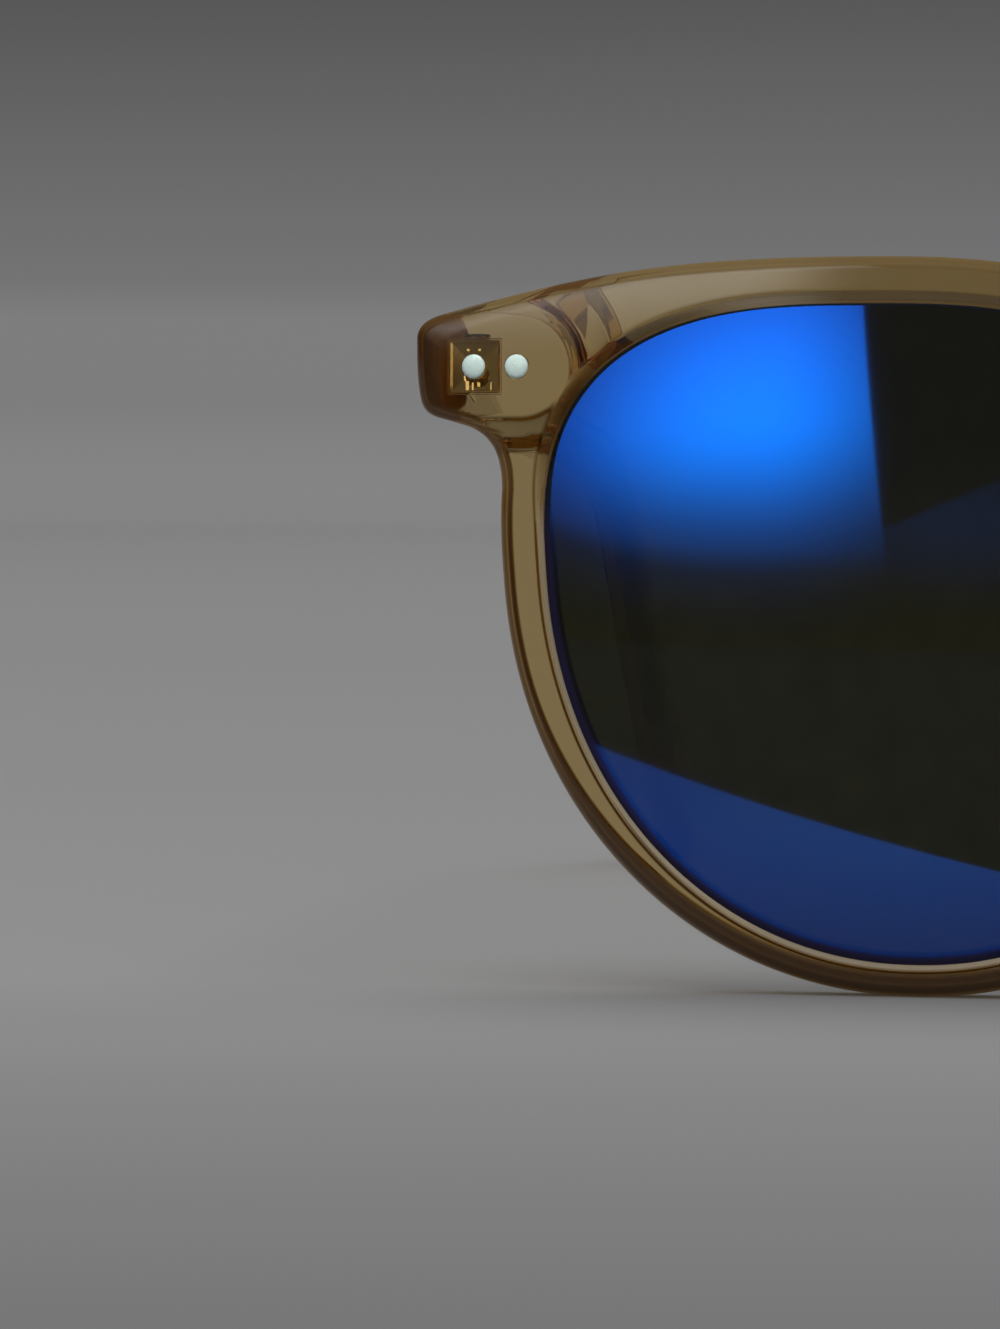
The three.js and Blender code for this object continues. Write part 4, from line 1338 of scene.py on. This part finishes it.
def temple_leaf_shell():
    """One barrel with its arm, the plate, and a tang that meets the core."""
    half = knuckle_height / 2
    ring = barrel(-half, half, (0.0, pin_inset + plate_thickness * 0.9), (0.0, plate_start + knuckle_radius))
    plate = slab(plate_edge(0), pin_inset, pin_inset + plate_thickness, plate_bevel, "x")
    tang_edge = rounded_box(tang_length / 2, core_height / 2, root_soft)
    tang = slab(tang_edge, pin_inset + root_soft, pin_inset + tang_depth, plate_bevel, "x")
    tang = moved(tang, (0, plate_end - tang_length / 2, 0))
    return joined(ring, sloped(plate), sloped(tang))


for part, shell in {"front": front_leaf_shell(), "temple": temple_leaf_shell()}.items():
    pair(f"hinge_{part}_leaf", f"{part}_hinge_leaf", hinge_metal, moved(shell, pin))

# %% [markdown]
# ## Hinge screws
# The screw is the hinge's pin: a shank through the three barrels with a slotted, slightly domed head on top.
# It is spun from a profile, and a thin box takes out the slot.

# %% Screw pieces
screw_head_radius, screw_point, screw_point_share = 1.0, 0.15, 0.75
screw_soft, screw_edge, screw_dome = 0.05, 0.12, 0.05
screw_slot, slot_turn, slot_reach, slot_past, slot_corner, slot_bevel = 0.28, 0.6, 1.2, 0.5, 0.02, 0.01


def screw_shell():
    """A profile from the shank's point up to the head, whose dome falls with the square of the radius."""
    point, seat = -knuckle_stack / 2, knuckle_stack / 2 + screw_clearance
    top, head = seat + screw_head_height, screw_head_radius
    dome = np.linspace(0.9, 0.02, 8)
    radius = [screw_radius * screw_point_share, screw_radius, screw_radius, head * under_share, head, head]
    level = [point, point + screw_point, seat, seat, seat + screw_soft, top - screw_edge]
    radius += list(head * dome)
    level += list(top - screw_dome * dome**2)
    return spun(radius, level)


def slot_shell():
    """A slab across the head, turned about the pin, that reaches half the head's height down."""
    top = knuckle_stack / 2 + screw_clearance + screw_head_height
    edge = rounded_box(screw_head_radius * slot_reach, screw_slot / 2, slot_corner, 3)
    cosine, sine = math.cos(slot_turn), math.sin(slot_turn)
    turned = edge @ np.array([[cosine, sine], [-sine, cosine]])
    return slab(turned, top - screw_head_height / 2, top + slot_past, slot_bevel, "z")


slot = moved(slot_shell(), pin)
pair("hinge_pin_screw", "hinge_screw", screw_metal, moved(screw_shell(), pin), cutters=[slot])

# %% [markdown]
# ## Floor and backdrop
# The glasses stand before a seamless grey sheet: a floor that curves up far behind into a wall. It is one
# profile carried sideways. Its grey has a painted falloff of light: painted darker above the height of the
# brow and towards the viewer, and it has the faint tooth of paper.

# %% Paper sweep
floor_grey, wall_grey, brow_grey, top_grey = 0.3, 0.258, 0.215, 0.107
wall_seen, floor_seen = 200.0, 2500.0


def sweep_shell():
    """A floor, a quarter circle and a wall as one profile in y and z, carried along x."""
    reach_front, bend_start, bend_radius, height, half_width = -6000.0, 1500.0, 400.0, 2200.0, 6000.0
    angle = np.linspace(0, math.pi / 2, 40)
    y = np.concatenate([[reach_front, -200.0, 200.0], bend_start + bend_radius * np.sin(angle)])
    y = np.append(y, bend_start + bend_radius)
    z = np.concatenate([[0, 0, 0], bend_radius * (1 - np.cos(angle)), [height]])
    x = np.linspace(-half_width, half_width, 9)
    grid = np.stack(np.broadcast_arrays(x[None], y[:, None], z[:, None]), axis=-1)
    rows, columns = grid.shape[:2]
    faces = grid_faces(rows, columns, False).reshape(rows - 1, columns, 4)[:, :-1].reshape(-1, 4)
    return grid.reshape(-1, 3) - to_frame, [faces]


def painted_falloff_paper():
    """A matt grey with a painted falloff of light up the wall and towards the viewer, and the tooth of paper.
    """
    material, start = new_finish("backdrop_grey_paper")
    rise = start.along("Z")
    cloud = start.noise(900.0, 2.0)
    # tone: painted darker up the wall, a painted falloff of light.
    tone = (rise * (1 / (wall_seen * MM)) + cloud * 0.1 - 0.05).greys(
        (0.05, floor_grey), (0.19, wall_grey), (0.33, wall_grey), (0.4, brow_grey), (1.0, top_grey)
    )
    # lit: a painted falloff of light towards the viewer.
    depth = start.along("Y")
    lit = (depth * (1 / (floor_seen * MM)) + 0.4).greys(
        (0.2, 0.5), (0.304, 0.65), (0.376, 1.0), (0.48, 0.93), (0.6, 0.915), (0.74, 0.955), (1.0, 1.03)
    )
    paper = start.surface({
        "Base Color": tone * lit,
        "Roughness": 0.9,
        "Specular IOR Level": 0.1,
        "Normal": start.bump(start.noise(0.6), 0.1, 0.05),
    })
    close(start, paper)
    return material


sweep = new_object("paper_sweep", sweep_shell())
sweep.data.polygons.foreach_set("use_smooth", np.ones(len(sweep.data.polygons), bool))
sweep.data.materials.append(painted_falloff_paper())
sweep.visible_transmission = False
print("sweep faces:", len(sweep.data.polygons))

# %% [markdown]
# ## What the lenses see
# A mirrored lens shows the studio, so the studio is part of the picture. A soft window stands ahead on the
# left: bright in its middle, fading like a bell curve, faster to the right and down, cut off hard on its
# right and dimmed below a sill that rises to the left. On its right a faintly glowing panel with a sloping
# top stands for a pale ledge, a painted reflection. A black card that only reflections see lies on the floor
# ahead and paints the middle of the lens dark, a painted dark reflection, and below it the lens shows the
# grey floor. The camera itself sees none of them.

# %% Window, ledge and card
below_sill = 0.42


def panel(name, corners, finish):
    """A four-cornered stage sheet, in the frame's millimetres, that only reflections and light rays meet."""
    points = np.array(corners, float) - to_frame
    item = new_object(name, (points, [np.array([[0, 1, 2, 3]])]))
    item.data.materials.append(finish)
    item.visible_camera = False
    item.visible_shadow = False
    return item


def glowing(name, strength, middle, wide, tight, sill, soft):
    """Light that falls off about a middle (x, z) as a bell curve, and is dimmed below a soft sill.

    The curve falls faster to the right and down: there the square of a tight share is added to the wide
    one's. Left of the middle the sill rises with the square of the way there, in metres.
    """
    material, start = new_finish(name)
    x, z = (start.along(axis) for axis in "XZ")
    across, above = x - middle[0] * MM, z - middle[1] * MM
    square = 0.0
    for away, side, broad, narrow in zip((across, above), (1, -1), wide, tight):
        near = start.maths("MAXIMUM", away * side, 0.0)
        square = away * away * (1 / (broad * MM) ** 2) + near * near * (1 / (narrow * MM) ** 2) + square
    left = start.maths("MINIMUM", across, 0.0)
    cut = (z - sill * MM - left * left) * (1 / (soft * MM))
    bell = start.maths("EXPONENT", square * -0.5, 0.0)
    level = bell * cut.greys((0.0, below_sill), (1.0, 1.0))
    light = start.add("ShaderNodeEmission", {}, {"Color": level, "Strength": strength})
    close(start, light)
    return material


def dark_reflection_card():
    """A matt black that hardly drifts, for a card only reflections see: a painted dark reflection."""
    material, start = new_finish("dark_reflection_black")
    tone = start.noise(20.0).greys((0.0, 0.004), (1.0, 0.008))
    card = start.surface({
        "Base Color": tone,
        "Roughness": 0.9,
        "Specular IOR Level": 0.0,
    })
    close(start, card)
    return material


def upright(name, ahead, corners, finish):
    """A panel that stands upright some way ahead, with its corners given in x and z."""
    panel(name, [(x, -ahead, z) for x, z in corners], finish)


window_light = glowing(
    "window_light", 2.4, middle=(-238, 157), wide=(106, 80), tight=(75, 53), sill=46, soft=16
)
# The ledge is no lamp: its faint glow is a painted reflection of a pale ledge.
ledge_painted_glow = glowing(
    "ledge_painted_glow", 0.044, middle=(-105, 82), wide=(70, 26), tight=(900, 900), sill=0, soft=40
)
upright("soft_window", 500, [(-650, 2), (-139, 2), (-197, 420), (-650, 420)], window_light)
upright("ledge_glow_panel", 505, [(-162, 0), (-30, 0), (-30, 124), (-162, 70)], ledge_painted_glow)
card_left, card_right, card_front, card_rise = -5900.0, 300.0, -5900.0, 1.0
card_x, card_y, card_slope = -31.0, -95.6, 0.644
left_edge, right_edge = (card_y + card_slope * (x - card_x) for x in (card_left, card_right))
card = panel("dark_reflection_card", [
    (card_left, left_edge, card_rise),
    (card_left, card_front, card_rise),
    (card_right, card_front, card_rise),
    (card_right, right_edge, card_rise),
], dark_reflection_card())
card.visible_diffuse = False
card.visible_transmission = False
print("window, ledge and card placed")

# %% [markdown]
# ## Light and world
# A broad lamp overhead gives plain soft light at a level where colours look as they are written. The
# world fills in the shadows. Reflections see a dark room and the camera sees the backdrop's grey. Light that
# comes through the plastic sees that grey on every side too, but a darker ceiling, which turns the lower
# rim deep brown.

# %% Lamps and world
def soft_lamp(name, place, target, size, power):
    """A round lamp of a size in millimetres and a power in watts, turned from its place to its target."""
    lamp = bpy.data.lights.new(name, "AREA")
    lamp.shape = "DISK"
    lamp.size = size * MM
    lamp.energy = power
    item = bpy.data.objects.new(name, lamp)
    item.location = np.array(place) * MM
    away = item.location - Vector(np.array(target) * MM)
    item.rotation_euler = away.to_track_quat("Z", "Y").to_euler()
    bpy.context.scene.collection.objects.link(item)
    return item


overhead = soft_lamp("overhead", place=(-300, 100, 2500), target=(-300, 100, 0), size=3200, power=58.0)
overhead.visible_glossy = False
overhead.visible_camera = False
overhead.visible_transmission = False

world = bpy.data.worlds.new("studio")
bpy.context.scene.world = world
world.use_nodes = True
world.node_tree.nodes.clear()
sky = Signal(world.node_tree)
seen = sky.ray("Camera")
passed = sky.ray("Transmission")
mirrored_ray = sky.ray("Glossy")
rise = sky.along("Z")
ceiling = (rise * 0.5 + 0.5).greys((0.0, 0.2), (0.46, 0.25), (0.52, 0.24), (0.57, 0.16), (0.65, 0.11))
tones = colour(0.35, 0.35, 0.36), colour(0.005, 0.005, 0.005), colour(0.24, 0.242, 0.245), ceiling
fill, room, paper, behind = (sky.add("ShaderNodeBackground", {}, {"Color": tone}) for tone in tones)
lit = sky.mix(mirrored_ray, fill, room)
lit = sky.mix(seen, lit, paper)
lit = sky.mix(passed, lit, behind)
sky.add("ShaderNodeOutputWorld", {}, {"Surface": lit})
print("world and lamps made")

# %% [markdown]
# ## Camera
# The photograph was taken square on to the bridge from about half a metre, and shows only the wearer's right
# half. The camera stands there and is turned to the middle of that picture, with a long lens whose picture
# height is the height of the scene at the rim.

# %% Camera
picture_height = 96.3
eye = np.array([0.0, -550.0, 43.5])
aim = np.array([-63.6, -68.0, 23.6])
long_side = 36.0
camera = bpy.data.cameras.new("photo_camera")
camera.sensor_width = long_side
camera.lens = long_side * float(np.linalg.norm(aim - eye)) / picture_height
camera.clip_start = 0.01
camera.clip_end = 20.0
viewer = bpy.data.objects.new("photo_camera", camera)
viewer.location = eye * MM
viewer.rotation_euler = Vector(eye - aim).to_track_quat("Z", "Y").to_euler()
bpy.context.scene.collection.objects.link(viewer)
bpy.context.scene.camera = viewer
bpy.context.scene.view_settings.view_transform = "Standard"
print("lens, mm:", round(camera.lens, 1))
